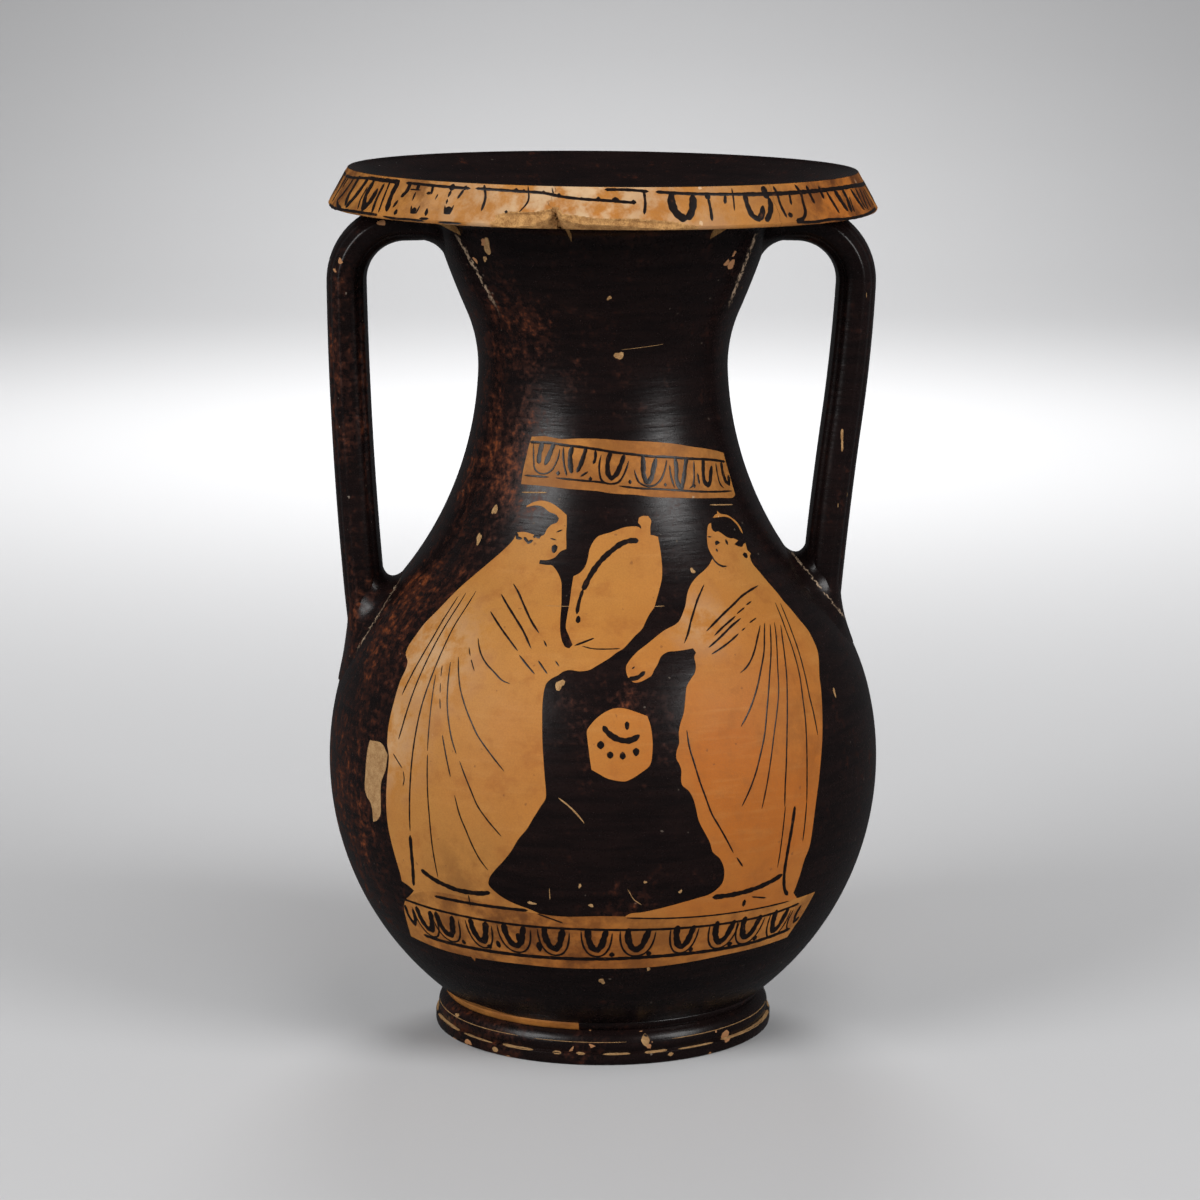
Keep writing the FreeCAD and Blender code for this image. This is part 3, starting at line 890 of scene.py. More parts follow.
def claySheet(table, lift, surface, size):
    # a thin closed skin: triangles inside a smoothed outline, laid on a surface and sunk a little at its back
    loop = np.asarray(table, float).reshape(-1, 2)
    wide = degreeWidth(surface, loop[:, 1].mean())
    loop = smoothPath(loop * [wide, 1], paintValues["edgeStep"], closed=True)
    low, high = loop.min(0), loop.max(0)
    rows = np.arange(low[1], high[1], size * paintValues["rowShare"])
    x, y = np.meshgrid(np.arange(low[0], high[0], size), rows)
    grid = np.stack([x + (np.arange(len(y)) % 2)[:, None] * size / 2, y], -1).reshape(-1, 2)
    grid = grid[insideLoop(grid, loop)]
    apart = [np.linalg.norm(part[:, None] - loop, axis=-1).min(1)
             for part in np.array_split(grid, paintValues["batches"]) if len(part)]
    flat = np.concatenate([loop, grid[np.concatenate(apart + [[]]) > paintValues["edgeRoom"] * size]])
    made = delaunay_2d_cdt([Vector(place) for place in flat.tolist()], [], [list(range(len(loop)))], 1, 1e-5)
    flat = np.array([tuple(place) for place in made[0]])
    tris = np.array(made[2])
    a, b, c = flat[tris[:, 0]], flat[tris[:, 1]], flat[tris[:, 2]]
    turned = (b[:, 0] - a[:, 0]) * (c[:, 1] - a[:, 1]) - (b[:, 1] - a[:, 1]) * (c[:, 0] - a[:, 0]) < 0
    tris[turned] = tris[turned][:, ::-1]
    count = len(flat)
    top = surface(flat[:, 0] / wide, flat[:, 1], lift)
    back = surface(flat[:, 0] / wide, flat[:, 1], -paintValues["sink"])
    sides = np.concatenate([tris[:, [0, 1]], tris[:, [1, 2]], tris[:, [2, 0]]])
    rim = sides[~np.isin(sides[:, 0] * count + sides[:, 1], sides[:, 1] * count + sides[:, 0])]
    quads = np.stack([rim[:, 1], rim[:, 0], rim[:, 0] + count, rim[:, 1] + count], -1)
    return np.concatenate([top, back]), quads, np.concatenate([tris, tris[:, ::-1] + count])


def brushStroke(width, table, surface, lift, seed):
    # a low closed ridge along a path: half as high as wide at most, narrowed at both ends, a little uneven
    path = np.asarray(table, float).reshape(-1, 2)
    wide = degreeWidth(surface, path[:, 1].mean())
    step = paintValues["strokeStep"] if width < paintValues["wideFrom"] else paintValues["wideStep"]
    path = smoothPath(path * [wide, 1], step)
    way = np.gradient(path, axis=0)
    way /= np.linalg.norm(way, axis=1, keepdims=True)
    run = np.cumsum(np.hypot(*np.diff(path, axis=0, prepend=path[:1]).T))
    toEnd = np.minimum(run, run[-1] - run)
    rounding = width * paintValues["taper"]
    if width < paintValues["fineUnder"]:
        rounding = max(rounding, min(paintValues["longestTaper"], paintValues["fineTaper"] * run[-1]))
    rounding = min(rounding, run[-1] * 0.5)
    uneven = 1 + sum(share * np.sin(run * pace + part * seed) for share, pace, part in paintValues["waver"])
    ends = np.sqrt(np.clip(1 - (1 - np.clip(toEnd / rounding, 0, 1)) ** 2, paintValues["bluntEnd"], 1))
    half = width / 2 * uneven * ends
    angle = (np.arange(paintValues["strokeColumns"]) + 0.5) * 2 * math.pi / paintValues["strokeColumns"]
    across = np.cos(angle) * half[:, None]
    depth = np.where(np.sin(angle) > 0, paintValues["crown"], paintValues["strokeSink"])
    rise = lift + np.sin(angle) * depth + 0 * across
    turn = (path[:, :1] - way[:, 1:] * across) / wide
    return ringed(surface(turn, path[:, 1:] + way[:, :1] * across, rise))


def drawn(name, strokes, surface=onWall, lift=paintValues["strokeLift"], finish=reliefBlack):
    # a piece made of brush strokes, each a width and a path
    shapes = [brushStroke(width, table, surface, lift, number * 1.7)
              for number, (width, table) in enumerate(strokes)]
    makePiece(name, gathered(shapes), [finish], sharp=60)
    print(name + ":", len(strokes), "strokes")


def laid(name, sheets, finish, size=paintValues["cell"]):
    # a piece made of clay sheets on the wall, each a lift and an outline
    shapes = [claySheet(table, lift, onWall, size) for lift, table in sheets]
    makePiece(name, gathered(shapes), [finish], sharp=40)
    print(name + ":", len(sheets), "sheets of clay")


def dot(turn, height, width=1.6, tall=1.6):
    # a round blot as a short fat stroke
    return (width, [turn, height - tall / 2, turn, height + tall / 2])


leftFigureEdge = [
    -29.5,161.8, -27,162.9, -23,163.5, -19,162.8, -16,161.5, -13.3,160, -13,158, -12.8,155, -12.3,152,
    -12.2,151, -14,150.3, -15.5,148.8, -17.5,148, -20.5,147.8, -20.5,146.8, -18,146.6, -16,146.5, -15,145.8,
    -13.5,144.2, -12.5,142.5, -12,140, -11.5,136.5, -11.2,133, -10.7,130, -9.8,127.5, -8.9,126.3, -8,126.1,
    -7.3,127, -8.5,129.3, -9.4,131, -9.5,134, -9.3,137, -9.2,141, -9,144, -7,145, -5.5,146.8, -4.8,149,
    -4.5,150.8, -3.5,152.8, -2,154.3, 0,155, 2,155.4, 5,156.2, 7.5,156.8, 10,157, 12.5,156.8, 14,155.8,
    15.5,154.8, 17.5,154.4, 19,154, 19.1,152, 19,149, 18.7,146.5, 17.8,143, 16.5,140.5, 15,137.8, 14,136,
    12.5,134.5, 11,132.5, 10,131, 8,129.3, 6,127.3, 5,126.3, 3,125, 1.5,123.8, 0,122.8, -1.5,121.8,
    -3,120.8, -5,120.4, -8,120.6, -9,120.2, -10,119.3, -11.5,118.3, -12.5,117, -12.8,115.5, -12.9,113,
    -12.6,106, -12.3,101, -11.9,96, -11.6,92, -11.3,88, -11.3,86.5, -12.5,83.5, -14,80, -15,77.5, -17,74,
    -18.5,70.5, -20.5,67, -22.5,64, -23.8,61.5, -24.1,59.5, -23.2,58, -21.5,56.2, -19.5,54.8, -17,53.6,
    -16,53.2, -13,51.4, -12,50.6, -30,50, -46.8,50.2, -47,50.8, -45.8,52, -44.5,53.4, -46,54.6, -47.9,55.5,
    -47.8,57, -48.2,62, -48.8,67, -49.3,72, -49.4,80, -49.2,85, -49.3,93.3, -49.9,95, -50.3,98, -50.3,108,
    -50.2,113, -49.8,117, -50,118, -52,120.3, -52.2,121.5, -51.5,125, -50.8,128, -49,131.8, -47,136,
    -45,139, -42,142.3, -38,146.2, -34,150, -31.8,152.5, -31,154.5, -28.5,154.8, -25,154.4, -22.5,154,
    -20.5,154.6, -20,155.8, -18.5,157.2, -16.3,158.2, -16,159, -17,159.8, -20,160.6, -23,161.9, -26,162.1,
    -29.5,161.4,
]
rightFigureEdge = [
    41.5,156.3, 40.2,156, 39.2,155, 38.3,153.6, 37.5,152, 37,150.2, 37.2,148.5, 37.7,147.2, 37,146.9,
    35.3,145.7, 33,144.5, 29,142.7, 26.5,141, 24.7,139, 23,136, 21.5,134, 20.2,132.5, 15,130, 10.5,127,
    8,125.2, 6,123, 5.2,121.6, 5.2,120, 5.8,118.4, 6.8,117.5, 8,117.6, 9.5,118.3, 10.8,119.2, 11.5,120.5,
    12.5,122, 13.5,123.8, 15,124.8, 17.5,125, 20,125.2, 21.7,125.4, 22.2,124.3, 21.5,123.2, 21.5,121.5,
    21,119.5, 19.5,117.5, 18.5,116, 17.8,113, 17,109, 16,106, 15.6,104, 15.5,101, 14.9,99, 14.8,96.8,
    15.3,95.5, 15.7,93.5, 15.6,92, 15.8,89.5, 17,88, 18,85.5, 18.5,83, 19.2,79, 20.5,75.5, 21.8,72,
    22.3,69.8, 24,67.5, 25,65, 25.4,62, 25.2,60, 24,58, 22.5,56.8, 20,56, 16,54.8, 12,53.6, 8,52.6,
    5.5,52.2, 4.5,51.3, 5.5,50, 25,49, 47,49.3, 48.3,48.8, 45.2,52.5, 45.4,54, 45.9,58.5, 46.2,62, 47.2,66,
    47.5,71, 47.8,76, 48.5,82, 49,85, 49.7,89, 50.3,92, 51.2,96, 52.3,101, 53.5,106, 54.8,110.5, 55.5,113,
    56.8,115.5, 58,117.5, 59,119.5, 59.5,123, 59.6,124.5, 59.3,126, 58.5,128.5, 58,131, 57.3,133.5,
    57,135.5, 56.5,137, 55.6,139, 55,140.5, 54.3,142, 53.6,143.3, 53.3,144.5, 53.5,145.5, 55,146.6,
    54,147.6, 54.8,149.5, 53.5,149.3, 52.5,148.8, 50.5,149, 48.8,149.8, 51.5,150.5, 50,151.2, 48,151.5,
    46.5,152, 45,153, 43.5,153.8, 42,153.8, 41.3,154.2, 41,155,
]
rightHairStrip = [
    43.2,157.6, 44.5,158.2, 46,158.5, 46.3,159.2, 47.3,158.4, 49,158, 51,157.6, 53,156.6, 54.5,155.7,
    55.5,154.4, 56,153, 55.7,152, 55.2,152.5, 54.8,154, 53.5,155.5, 52,156.6, 50,157.2, 45,157.5,
]
discKnobEdge = [
    12.5,158, 13,159.3, 14.5,159.7, 16.5,159.6, 17.4,158.4, 16.8,156.8, 16.4,154.3, 13.2,155.2, 13.4,157,
]
ballEdge = [
    3.5,111, 5,110.7, 7,109.8, 9.2,108.7, 9.7,106.5, 10,103, 9.9,99, 9.3,95.5, 7.5,93.5, 6,92.2, 4.5,91.3,
    2.5,91.5, 0.5,92.3, -1,93.5, -2.3,94.5, -2.6,97, -2.9,100, -3.2,103, -3.3,105, -2.5,106.7, -1,108.7,
    0.5,110, 2,110.8,
]
upperBandEdge = [
    -32,180.8, -26,181.2, -18,180.7, -10,181, -2,181, 6,180.6, 14,180.2, 24,179.6, 30,179, 34,178.5,
    38,177.9, 42,177.3, 46,176.8, 50,176.2, 56,175.2, 60.6,174.3, 60.9,168, 60.5,162.4, 58,161.8, 56,161.9,
    50,162.5, 44,162.9, 36,163.5, 28,164.1, 20,164.6, 12,165.5, 6,165.8, 2,166.1, -2,166.6, -6,166.8,
    -12,167, -24,167.5, -33.8,167.5, -34,170, -33.8,173, -33.3,176, -32.8,178.5, -32.2,180,
]
lowerBandEdge = [
    -46.5,51.2, -48.5,49.5, -50.5,46, -51.5,42.5, -52.5,39, -53.5,36.2, -50,35.7, -45,35, -40,34.6,
    -33.6,34.4, -33,33, -32.4,34.3, -20,34.3, -10,34, 0,34.1, 10,34.1, 20,34.8, 30,35.8, 40,36.3, 49.7,37,
    50.3,39.3, 51.5,43, 52.7,47.3, 53.5,50.5, 48,50.3, 40,50.2, 20,50, 15,50.3, 10,50.7, 5,51.4, 0,51.6,
    -10,51.3, -14,51.8,
]
figureSheets = [(0.05, leftFigureEdge), (0.06, rightFigureEdge), (0.06, discKnobEdge), (0.05, ballEdge),
                (0.05, rightHairStrip)]
bandSheets = [(0.05, upperBandEdge), (0.07, lowerBandEdge)]
laid("figures", figureSheets, figureClay)
laid("patternBands", bandSheets, patternClay)

bodyStrokes = [
    (0.5, [-44.3,136.3, -44.7,133, -45.3,125, -46,121, -47,116, -48.3,109.5]), (0.5, [-42.1,137.5,
    -42.8,132, -43.3,127, -44,120, -44.9,112, -45.5,106, -46.2,100, -46.6,97.5]), (0.5, [-38.8,138.3,
    -39.6,134, -40.2,130, -40.5,124, -41,116, -41.6,108, -41.9,100, -42.2,84, -42.5,72]), (0.37, [-40,116.5,
    -39.3,111, -38.8,106, -38.1,96]), (0.43, [-38,95, -37.4,84, -37,77, -36.8,70, -36.4,59.5]),
    (0.31, [-39,119, -38.4,116.2]), (0.31, [-38,114.5, -37.4,112]), (0.31, [-37.1,110.5, -36.4,107.8]),
    (0.43, [-37,120.2, -36,115, -34.8,109, -33.5,104, -32.3,100, -30.9,96.3]), (0.43, [-30,94.5, -28.5,90.5,
    -27,86.5, -25.5,82.5, -23.8,79.5, -20.5,74.5]), (0.43, [-35.3,121.8, -34,118, -32.5,114, -31,110.8,
    -28,105, -26.5,102.2, -24,98.6, -20,93]), (0.43, [-34.8,101, -34,98, -33.3,95.3, -31.9,89.8]),
    (0.43, [-30.8,84.8, -29.5,79, -28.2,75, -27,71, -25.5,67, -23.9,64]), (0.43, [-31.7,127, -31,125.6,
    -29.5,123.2, -27.5,121, -25,119, -22.5,117, -20.7,116.4]), (0.31, [-33.3,124.5, -32.2,122.4]),
    (0.31, [-31.7,121.6, -30,118.8]), (0.5, [-31.3,133.8, -27,130.5, -23,127.2, -20.4,124.8]),
    (0.5, [-19.8,123.8, -15.4,119.3]), (0.56, [-30,138.3, -27,135.8, -24,133.3, -20,129.5, -17.2,125.6]),
    (0.5, [-15,122.7, -12.5,119.5]), (0.56, [-27.2,141.2, -25,139.3, -22,136, -18.5,132, -16,129.5]),
    (0.5, [-14.5,127.8, -13.5,126.3]), (0.37, [-11,122.9, -10,121.5]), (0.37, [-47.7,93.2, -46,91.3,
    -44.7,89.8]), (0.37, [-44.3,89, -43.9,86.5, -44.2,84.8]), (1.3, [-42.6,70.8, -42.8,66, -43.3,60,
    -44.2,55]), (1.5, [-40.8,60.8, -38,58.8, -35,57.5, -32,56.6, -29,56.4, -26,56.6, -24,57.2]),
    (0.43, [-29.3,55.5, -29.3,52]), (1, [-38.5,53.2, -29,52.9, -16,52.6]), (0.5, [-14,51.8, -8.5,49.2]),
    (0.4, [-16.3,155.3, -14.2,156]), (0.4, [-18.2,153.6, -15.9,153.2]), dot(-16.2, 150.9, 2, 2.2),
    dot(-24, 153.8, 0.9, 0.9), (0.9, [-31.1,154.4, -30.4,153.1, -28.4,152.9]), (0.9, [-27.9,153.4,
    -25.8,152.1, -24.3,152.8]), (0.8, [-24.1,154, -22.3,153.7, -21.9,154.6]), (1.5, [12,153.2, 9,153.2,
    7,152.8, 5,152, 3,150.8, 1,149.5, -1,147.8, -3,145.5, -4.5,143.2, -5.8,140.5]), (1, [-5.8,140.7,
    -6.7,137.5, -7,134.5]), dot(-6.5, 133.2, 1.6, 1.8), (0.5, [-6.8,126.8, -2.2,128.7]), (0.31, [-5,126.7,
    -2.5,126.1, 0,126, 4,126.1]), (1.7, [0,106.3, 0.7,104.9, 1.8,103.6, 3.3,102.6, 5,102.3, 6.3,102.8,
    7.4,103.8]), dot(4.9, 106.3, 1.5, 2.2), dot(-0.5, 101.2, 2, 2.2), dot(1.4, 98.5, 1.9, 1.9),
    dot(3.9, 98.3, 1.9, 2.1), dot(6.6, 99.2, 2, 2.2), (1.2, [5.5,118.4, 7.5,118.7, 9.4,120.2]),
    (0.5, [6.5,121, 7.2,121.5]), (0.56, [37,148, 37.6,146.4, 38.8,145.2, 40,144.7, 41.7,144.6]),
    (0.43, [38,152.8, 39.7,152.6]), (1, [40.3,150.4, 41.2,151, 42.4,150.8]), dot(40, 149, 0.9, 0.9),
    dot(45.6, 150.7, 1.2, 1.5), (1.5, [50.7,146.7, 51.6,146.4, 52.8,146.8]), (0.56, [30.8,140.7, 29,139,
    27,137, 25,134.5, 23,131.8, 21.5,129.3, 19.8,126.8]), (0.56, [26.5,129.3, 30,131.3, 34,133.3, 38,135,
    42,136.6, 46,137.6, 50.5,138.4]), (0.5, [28.2,128, 31,129.6, 36.7,132.1]), (0.56, [25.7,125.2, 28,126.5,
    31,128.2, 34,129.8, 38,131.4]), (0.5, [26,123.5, 29,124.8, 32,126.2, 35.2,127.8]), (0.37, [36.5,128.4,
    38,129]), (0.37, [37.5,132.6, 41,133.8]), (0.37, [42,134.3, 44.5,135]), (0.37, [40,130, 43,130.9]),
    (0.5, [32,118, 34,119.2, 36,121, 38,123.3, 40,125.8, 43,129]), (0.5, [29.5,104, 32,107.8, 35,113,
    38,118.5, 40.5,122.5, 43,126.8, 44.8,129.3]), (0.5, [28.5,82, 30,85.5, 32,91, 33.5,96, 35,101, 36.5,107,
    38,111.8, 40,117, 42.5,122, 45,126.5, 46.5,128.8]), (0.43, [33.2,80.5, 34.5,87, 36,94.5, 37.5,101,
    39,106, 41,112, 43,118.5, 45,123, 48.3,129]), (0.5, [39,80, 39.2,86, 39.8,92, 40.4,97, 41.3,102.5,
    43,110, 44.5,115, 46.5,121, 48.5,125.5, 50,128]), (0.5, [45.2,80, 45.4,87, 46,95, 46.8,102, 47.6,109,
    48.8,115, 50,122, 51,127, 52,130, 53.3,133.5]), (0.5, [50,98, 49.9,104, 49.9,109, 50.5,114, 51.5,120,
    53,127, 54,130, 55.3,133]), (0.5, [17.3,104.5, 17.6,100, 18.5,95, 19.5,90, 20.5,86, 22,80.5, 23.5,77,
    25,73.5, 27,68.7]), (0.5, [27.8,67.3, 29.5,64.2]), (0.43, [39.2,80, 38.9,75, 38.5,62]), (0.5, [45.2,80,
    45,75, 44.8,68.5]), (1.2, [41.8,79.5, 41.2,73, 40.7,66, 40.7,61, 41.2,57, 42.2,54, 43.5,52.3]),
    (1.6, [23.3,55.8, 27,55.8, 31,56.2, 34.5,57, 38,58.3, 40.3,59.5]), dot(31.3, 52.6, 1.2, 2.2),
    (0.5, [33,54.2, 37,53]), (0.5, [5,51, 15,50.3, 25,50, 35,50, 44.5,50.1]),
]
drawn("figureLines", bodyStrokes)

upperBandStrokes = [
    (0.8, [-32.5,179.3, -22,179.4, -16,179, -10,178.7, -4,178.2, 0,177.8, 4,177.3, 12,176.6, 20,175.8,
    28,175.3, 36,174.5, 44,173.8, 50,173.2, 60,171.8]), (0.6, [-33,170, -22,170]), (0.6, [-19,169.9,
    -8,169.4, 0,168.9, 3,168.4]), (0.6, [6,168, 14,167.2, 22,166.7, 30,166, 38,165.2, 50,164.2, 59,163.6]),
    (1.6, [-26.5,179.5, -27.3,175, -27,173.5]), (1.5, [-21,179.5, -22.3,177, -24.3,173.2]),
    (0.5, [-30.8,179, -30.2,176.5, -29.5,174, -28.8,172.2, -27.5,171.3, -25.5,170.8, -23,171, -21,172,
    -19.5,174, -18.6,176, -18.4,177.8]), dot(-18.2, 171.2, 1.3, 1.3), (1.5, [-13,178.8, -13.7,176,
    -13.3,173.5, -12.6,171.3]), (1.3, [-7,178.5, -9,174, -10.5,171.6]), (0.6, [-16.8,178.5, -16.5,175.5,
    -15.7,173, -14.5,170.6]), (0.6, [-9,170.5, -6,171.9]), (0.9, [-3.2,177.8, -3.2,175.5, -4,174]),
    dot(-5, 169.9, 1.3, 1.3), (0.6, [-0.8,176.5, -1.5,174, -1.4,171.5, -0.5,169.5, 1,168.8, 4,168.6, 6,169,
    8,170.7, 9.5,172.8, 10.5,174.8]), (1.4, [3.3,177.3, 2.2,175.5, 1.8,173, 2.2,171, 3.3,170, 4.8,170.8,
    7,173.5, 8.8,176.5]), dot(10.6, 169, 1.2, 1.2), (1.5, [16.6,176.3, 16.5,173.5, 16.3,171, 17,169,
    18.3,168.8, 19.5,170, 20.8,172.5, 22.3,175.3]), (0.6, [12.6,172.3, 13.2,170.5, 14.3,168.8, 16,168,
    18.5,167.6, 21,168, 23,169, 25,171, 26.3,173, 27,174.5]), dot(25, 167.8, 1, 1), (0.6, [28,173, 28,170,
    28.8,166.8]), (1.4, [31,175, 31,172, 30.3,169, 31,166.8, 32,166.5, 33,168, 34.5,170.5, 35.8,173,
    37,174.8]), (0.6, [40.3,173.5, 39.5,171, 38.6,168.5, 37.3,166.8, 35.5,166.2]), dot(38, 166.8, 1.3, 1.3),
    (0.8, [41,170, 40.8,167]), (1.4, [45.8,174, 45,172, 44,169.5, 43.8,167.5, 45,166.3, 46.5,167, 48,169,
    50,171.5]), (0.6, [53,172, 52.4,169, 52.6,166, 54,164.8]), (1.4, [57,172, 56.2,169, 56.6,166.5,
    58.5,165.6, 60,168]),
]
drawn("upperEggBand", upperBandStrokes)


eggValues = {
    "inner": [-2.2,48, -2.3,45.5, -1.8,43, -0.8,41.2, 0.3,40.8, 1.3,42, 2.1,44.5, 2.9,47.6],
    "innerWidth": 2.0, "outerWidth": 0.6,
    "outer": [-4.2,47.2, -4.1,44, -3.3,41, -1.9,39.2, 0,38.6, 2,39.2, 3.4,41, 4.2,43.6, 4.5,46.5],
    "middles": (-43.5, -37.5, -28.5, -20, -11, -1.5, 7.5, 18, 27.5, 34.5, 43), "lift": 0.3, "sag": 0.6,
    "width": 0.82, "widthWaver": 0.08,
}


def eggStrokes(middle, lean):
    # one egg of the lower band: a thick inner loop open at the top and a thin outer one round it
    shift = [middle, eggValues["lift"] - eggValues["sag"] * math.cos(math.radians(middle * 2))]
    return [(eggValues[part + "Width"], np.reshape(eggValues[part], (-1, 2)) * [lean, 1] + shift)
            for part in ("inner", "outer")]


lowerBandStrokes = [
    (0.8, [-50,49.6, -40,48.8, -30,48.2, -20,47.7, 0,47.3, 20,46.8, 30,46.8, 40,47.2, 48.5,48.3]),
    (1.2, [-47,38.5, -40,38, -30,37.7, 0,37.5, 10,37.8, 20,38, 30,38.2, 37,38.5, 43,39.2, 49,40]),
    dot(-34, 39.4), dot(-27, 39.2), dot(2, 39), dot(10.5, 39), dot(20.5, 39.3), dot(30.5, 39.4),
    dot(37.5, 39.9), dot(-19, 43.5, 2.2, 3), dot(-14.5, 41, 1.8, 3.2), dot(-24.5, 40.5, 1.4, 2.4),
]
for number, middle in enumerate(eggValues["middles"]):
    lean = eggValues["width"] + eggValues["widthWaver"] * math.sin(number * 2.4)
    lowerBandStrokes += eggStrokes(middle, lean)
lowerBandStrokes += [
    (1.4, [-49.5,47.5, -49.7,44, -48.8,41.4, -47.6,43.5, -47,47]), (0.6, [47.2,46.8, 46.8,43, 47.6,40.6,
    49.3,39.8]), (1.2, [49.6,47.5, 48.9,44.5, 49.5,42, 50.8,43.4]),
]
drawn("lowerEggBand", lowerBandStrokes)

bandStrokes = [
    (0.8, [-79,253.6, -71,253.7, -64,254.2, -53,254.1]), (0.8, [-47,254.2, -42,254.1, -36,253.9,
    -29,253.7]), (0.8, [-27.8,253.8, -22,253.6, -18,253.4, -12,253, -9,252.3, -4,251.6, 0,251.3,
    6.8,250.6]), dot(-18.5, 253.6, 1.6, 1.2), dot(-16.8, 253.5, 1.2, 1), dot(-12.5, 253.2, 1.4, 1),
    dot(-9.2, 252.5, 1.6, 1.2), dot(-4.5, 251.7, 1.2, 0.9), dot(-1, 251.6, 1.4, 1.3),
    dot(2.5, 251.4, 2.2, 1.5), dot(6.2, 250.8, 1.8, 1.2), (0.8, [0.3,254.1, 5,254, 9.5,253.5]),
    (0.9, [11,253.4, 16,252.9, 22,252.5, 31,252.1]), (1.2, [30,252.1, 38,251.8, 46,251.7, 60,251.6,
    72,251.4, 81,250.9]), (1.6, [-77,253.8, -78,250, -78.8,246.3]), (1, [-75.2,253.5, -75.8,250.5]),
    (1.3, [-70.4,253.4, -72.2,249.5, -74.4,247]), (0.9, [-74.4,247, -72,246, -69,245.5]), (2, [-67.2,254.6,
    -67.9,251, -68.2,249, -67,246.3]), (2, [-62.1,254.8, -63.4,251, -65,248, -66.6,246]), (0.8, [-60.6,252,
    -61,248.3, -60.3,246]), (2.1, [-59,254.2, -59.5,249.5, -58.2,246.5, -57,247.8, -56.4,249.6, -56,252]),
    (1.2, [-54.4,253.5, -54.7,249, -54.2,245.5]), (0.8, [-52.6,254.5, -52.4,250, -52,245.8]),
    (0.7, [-53.6,254.6, -51.3,254.4]), (2, [-49.5,254.8, -50.1,251, -50,249, -49.4,246.3]),
    (1.5, [-45.6,254.6, -45.8,252, -46.9,250.4]), (1.1, [-47.3,249.5, -48.1,247.5]),
    dot(-46.6, 246.4, 1.7, 1.5), (1.3, [-42.8,254.4, -42.9,252.4]), (0.4, [-45,252.6, -41.8,252.6]),
    (0.7, [-43,252, -43.1,249.7]), (2.4, [-41.7,248, -41.6,246.4]), (0.6, [-42.8,248.4, -42.2,246.6,
    -40.8,246.6, -40.4,248.6]), (0.9, [-38.8,254.2, -38.5,252, -39.9,251.9]), (0.5, [-36.7,251.9,
    -37,250.4]), (1.3, [-38.3,248, -38,246]), (0.7, [-39.4,245.2, -37,245.3]), (2, [-33.5,254.7,
    -33.7,252.9]), (1.1, [-33.6,253, -33.9,251.2]), (0.8, [-33.9,250.7, -33.8,249.4]), (2.6, [-33,248.8,
    -32.9,246.9]), (0.6, [-34,249, -33.6,247, -32.3,247, -31.9,249.2]), (1.5, [-30.1,254.4, -30.5,253.2]),
    (0.8, [-30.5,253.4, -31.5,250.9]), (0.8, [-26,254.8, -25,251.5, -25.2,248]), (0.5, [-16,254.8,
    -15.5,251, -17,248]), (0.4, [-10.8,254.5, -10.3,252.6]), dot(-19.8, 248, 1, 0.8), (0.8, [8.5,253.8,
    8.6,250.5, 8.2,247.6]), (2.4, [14.4,253.3, 14.1,250.5, 14.7,248, 15.6,246.8, 16.8,246.1]),
    (2.2, [18.9,252.6, 18.6,250, 17.9,247.8, 16.8,246.1]), (1.7, [22.1,252.6, 22.2,251]), (0.9, [22.2,251.5,
    22.2,248, 22,245.5]), (1.1, [26.3,252.2, 25.7,249.8]), (0.5, [28.2,253.8, 27.9,250.5, 27.5,248]),
    (1.7, [31,252.6, 30.9,249, 31.5,246.3, 32.6,245.4, 33.6,246.4, 34.7,248.9]), (2.6, [36.6,253.9,
    36.2,252.6, 36.6,250.6]), (1.7, [36.8,251, 36.7,249, 35.8,246.8, 34.2,244.8]), (0.9, [39,253.8,
    39.4,252, 39.3,249, 39.8,245.4]), dot(41, 246, 1.8, 1.4), (0.9, [42.9,251.6, 42.3,248.6]),
    (1.1, [45.5,253.8, 46.4,251.5, 46,249, 45.6,246.5, 44.4,245, 42,244.3]), (1.3, [49.2,253.3, 49.3,250.5,
    49.5,248.4]), (1.5, [53.5,252.8, 53.4,249.4]), (1.3, [55.5,251.3, 56.2,248, 56.8,245.2]),
    (2.2, [59,251.5, 59.8,248.5, 60.8,245.4]), (1.9, [62.8,251.6, 63.1,248.8, 62,245]), (0.8, [64.6,249,
    63.5,244.9]), (2, [67.4,250.9, 68.2,248.3, 69.6,244.9]), (1.3, [71,250.8, 70.5,247.5, 71,245]),
    (1.2, [74,250.3, 72.2,244.6]), (1.1, [76.6,249.6, 75.2,245]), (1.1, [78.2,250, 79.4,245.2]),
    (0.8, [-80,245.4, -73,245, -66,245.2, -60,245.3, -52,245.2]), (0.6, [-50,245, -46,244.7, -42,244.8,
    -38,244.6]), (0.6, [-34.5,244.6, -29,244.5]), (0.9, [-62,254.5, -57,254.4, -54,254.4]),
    (1.2, [-55,254.4, -52,254.3, -49.2,254.3]), (0.8, [42,244, 48,243.7, 52,243.9, 58,243.5, 66,243.5,
    74,243.9, 80,244.3]),
]
drawn("mouthBandLines", bandStrokes, onBand, 0.04)

wornPatch = [
    -56.3,95, -51.5,94.9, -49.5,92.5, -49.8,88, -51,84.5, -51.3,78, -51.5,75, -53,72.5, -54.5,71.6, -55,77,
    -56.5,78.8, -57,80, -57,85, -56.5,94,
]


def chip(turn, height, width, tall, seed):
    # an uneven flake: a loop round its middle whose reach wavers
    angle = np.arange(12) * math.pi / 6
    reach = 1 + 0.28 * np.sin(2 * angle + seed) + 0.18 * np.sin(3 * angle + 2.3 * seed)
    aside = reach * np.cos(angle) * width / 2 / degreeWidth(onWall, height)
    return np.stack([turn + aside, height + reach * np.sin(angle) * tall / 2], -1).ravel()


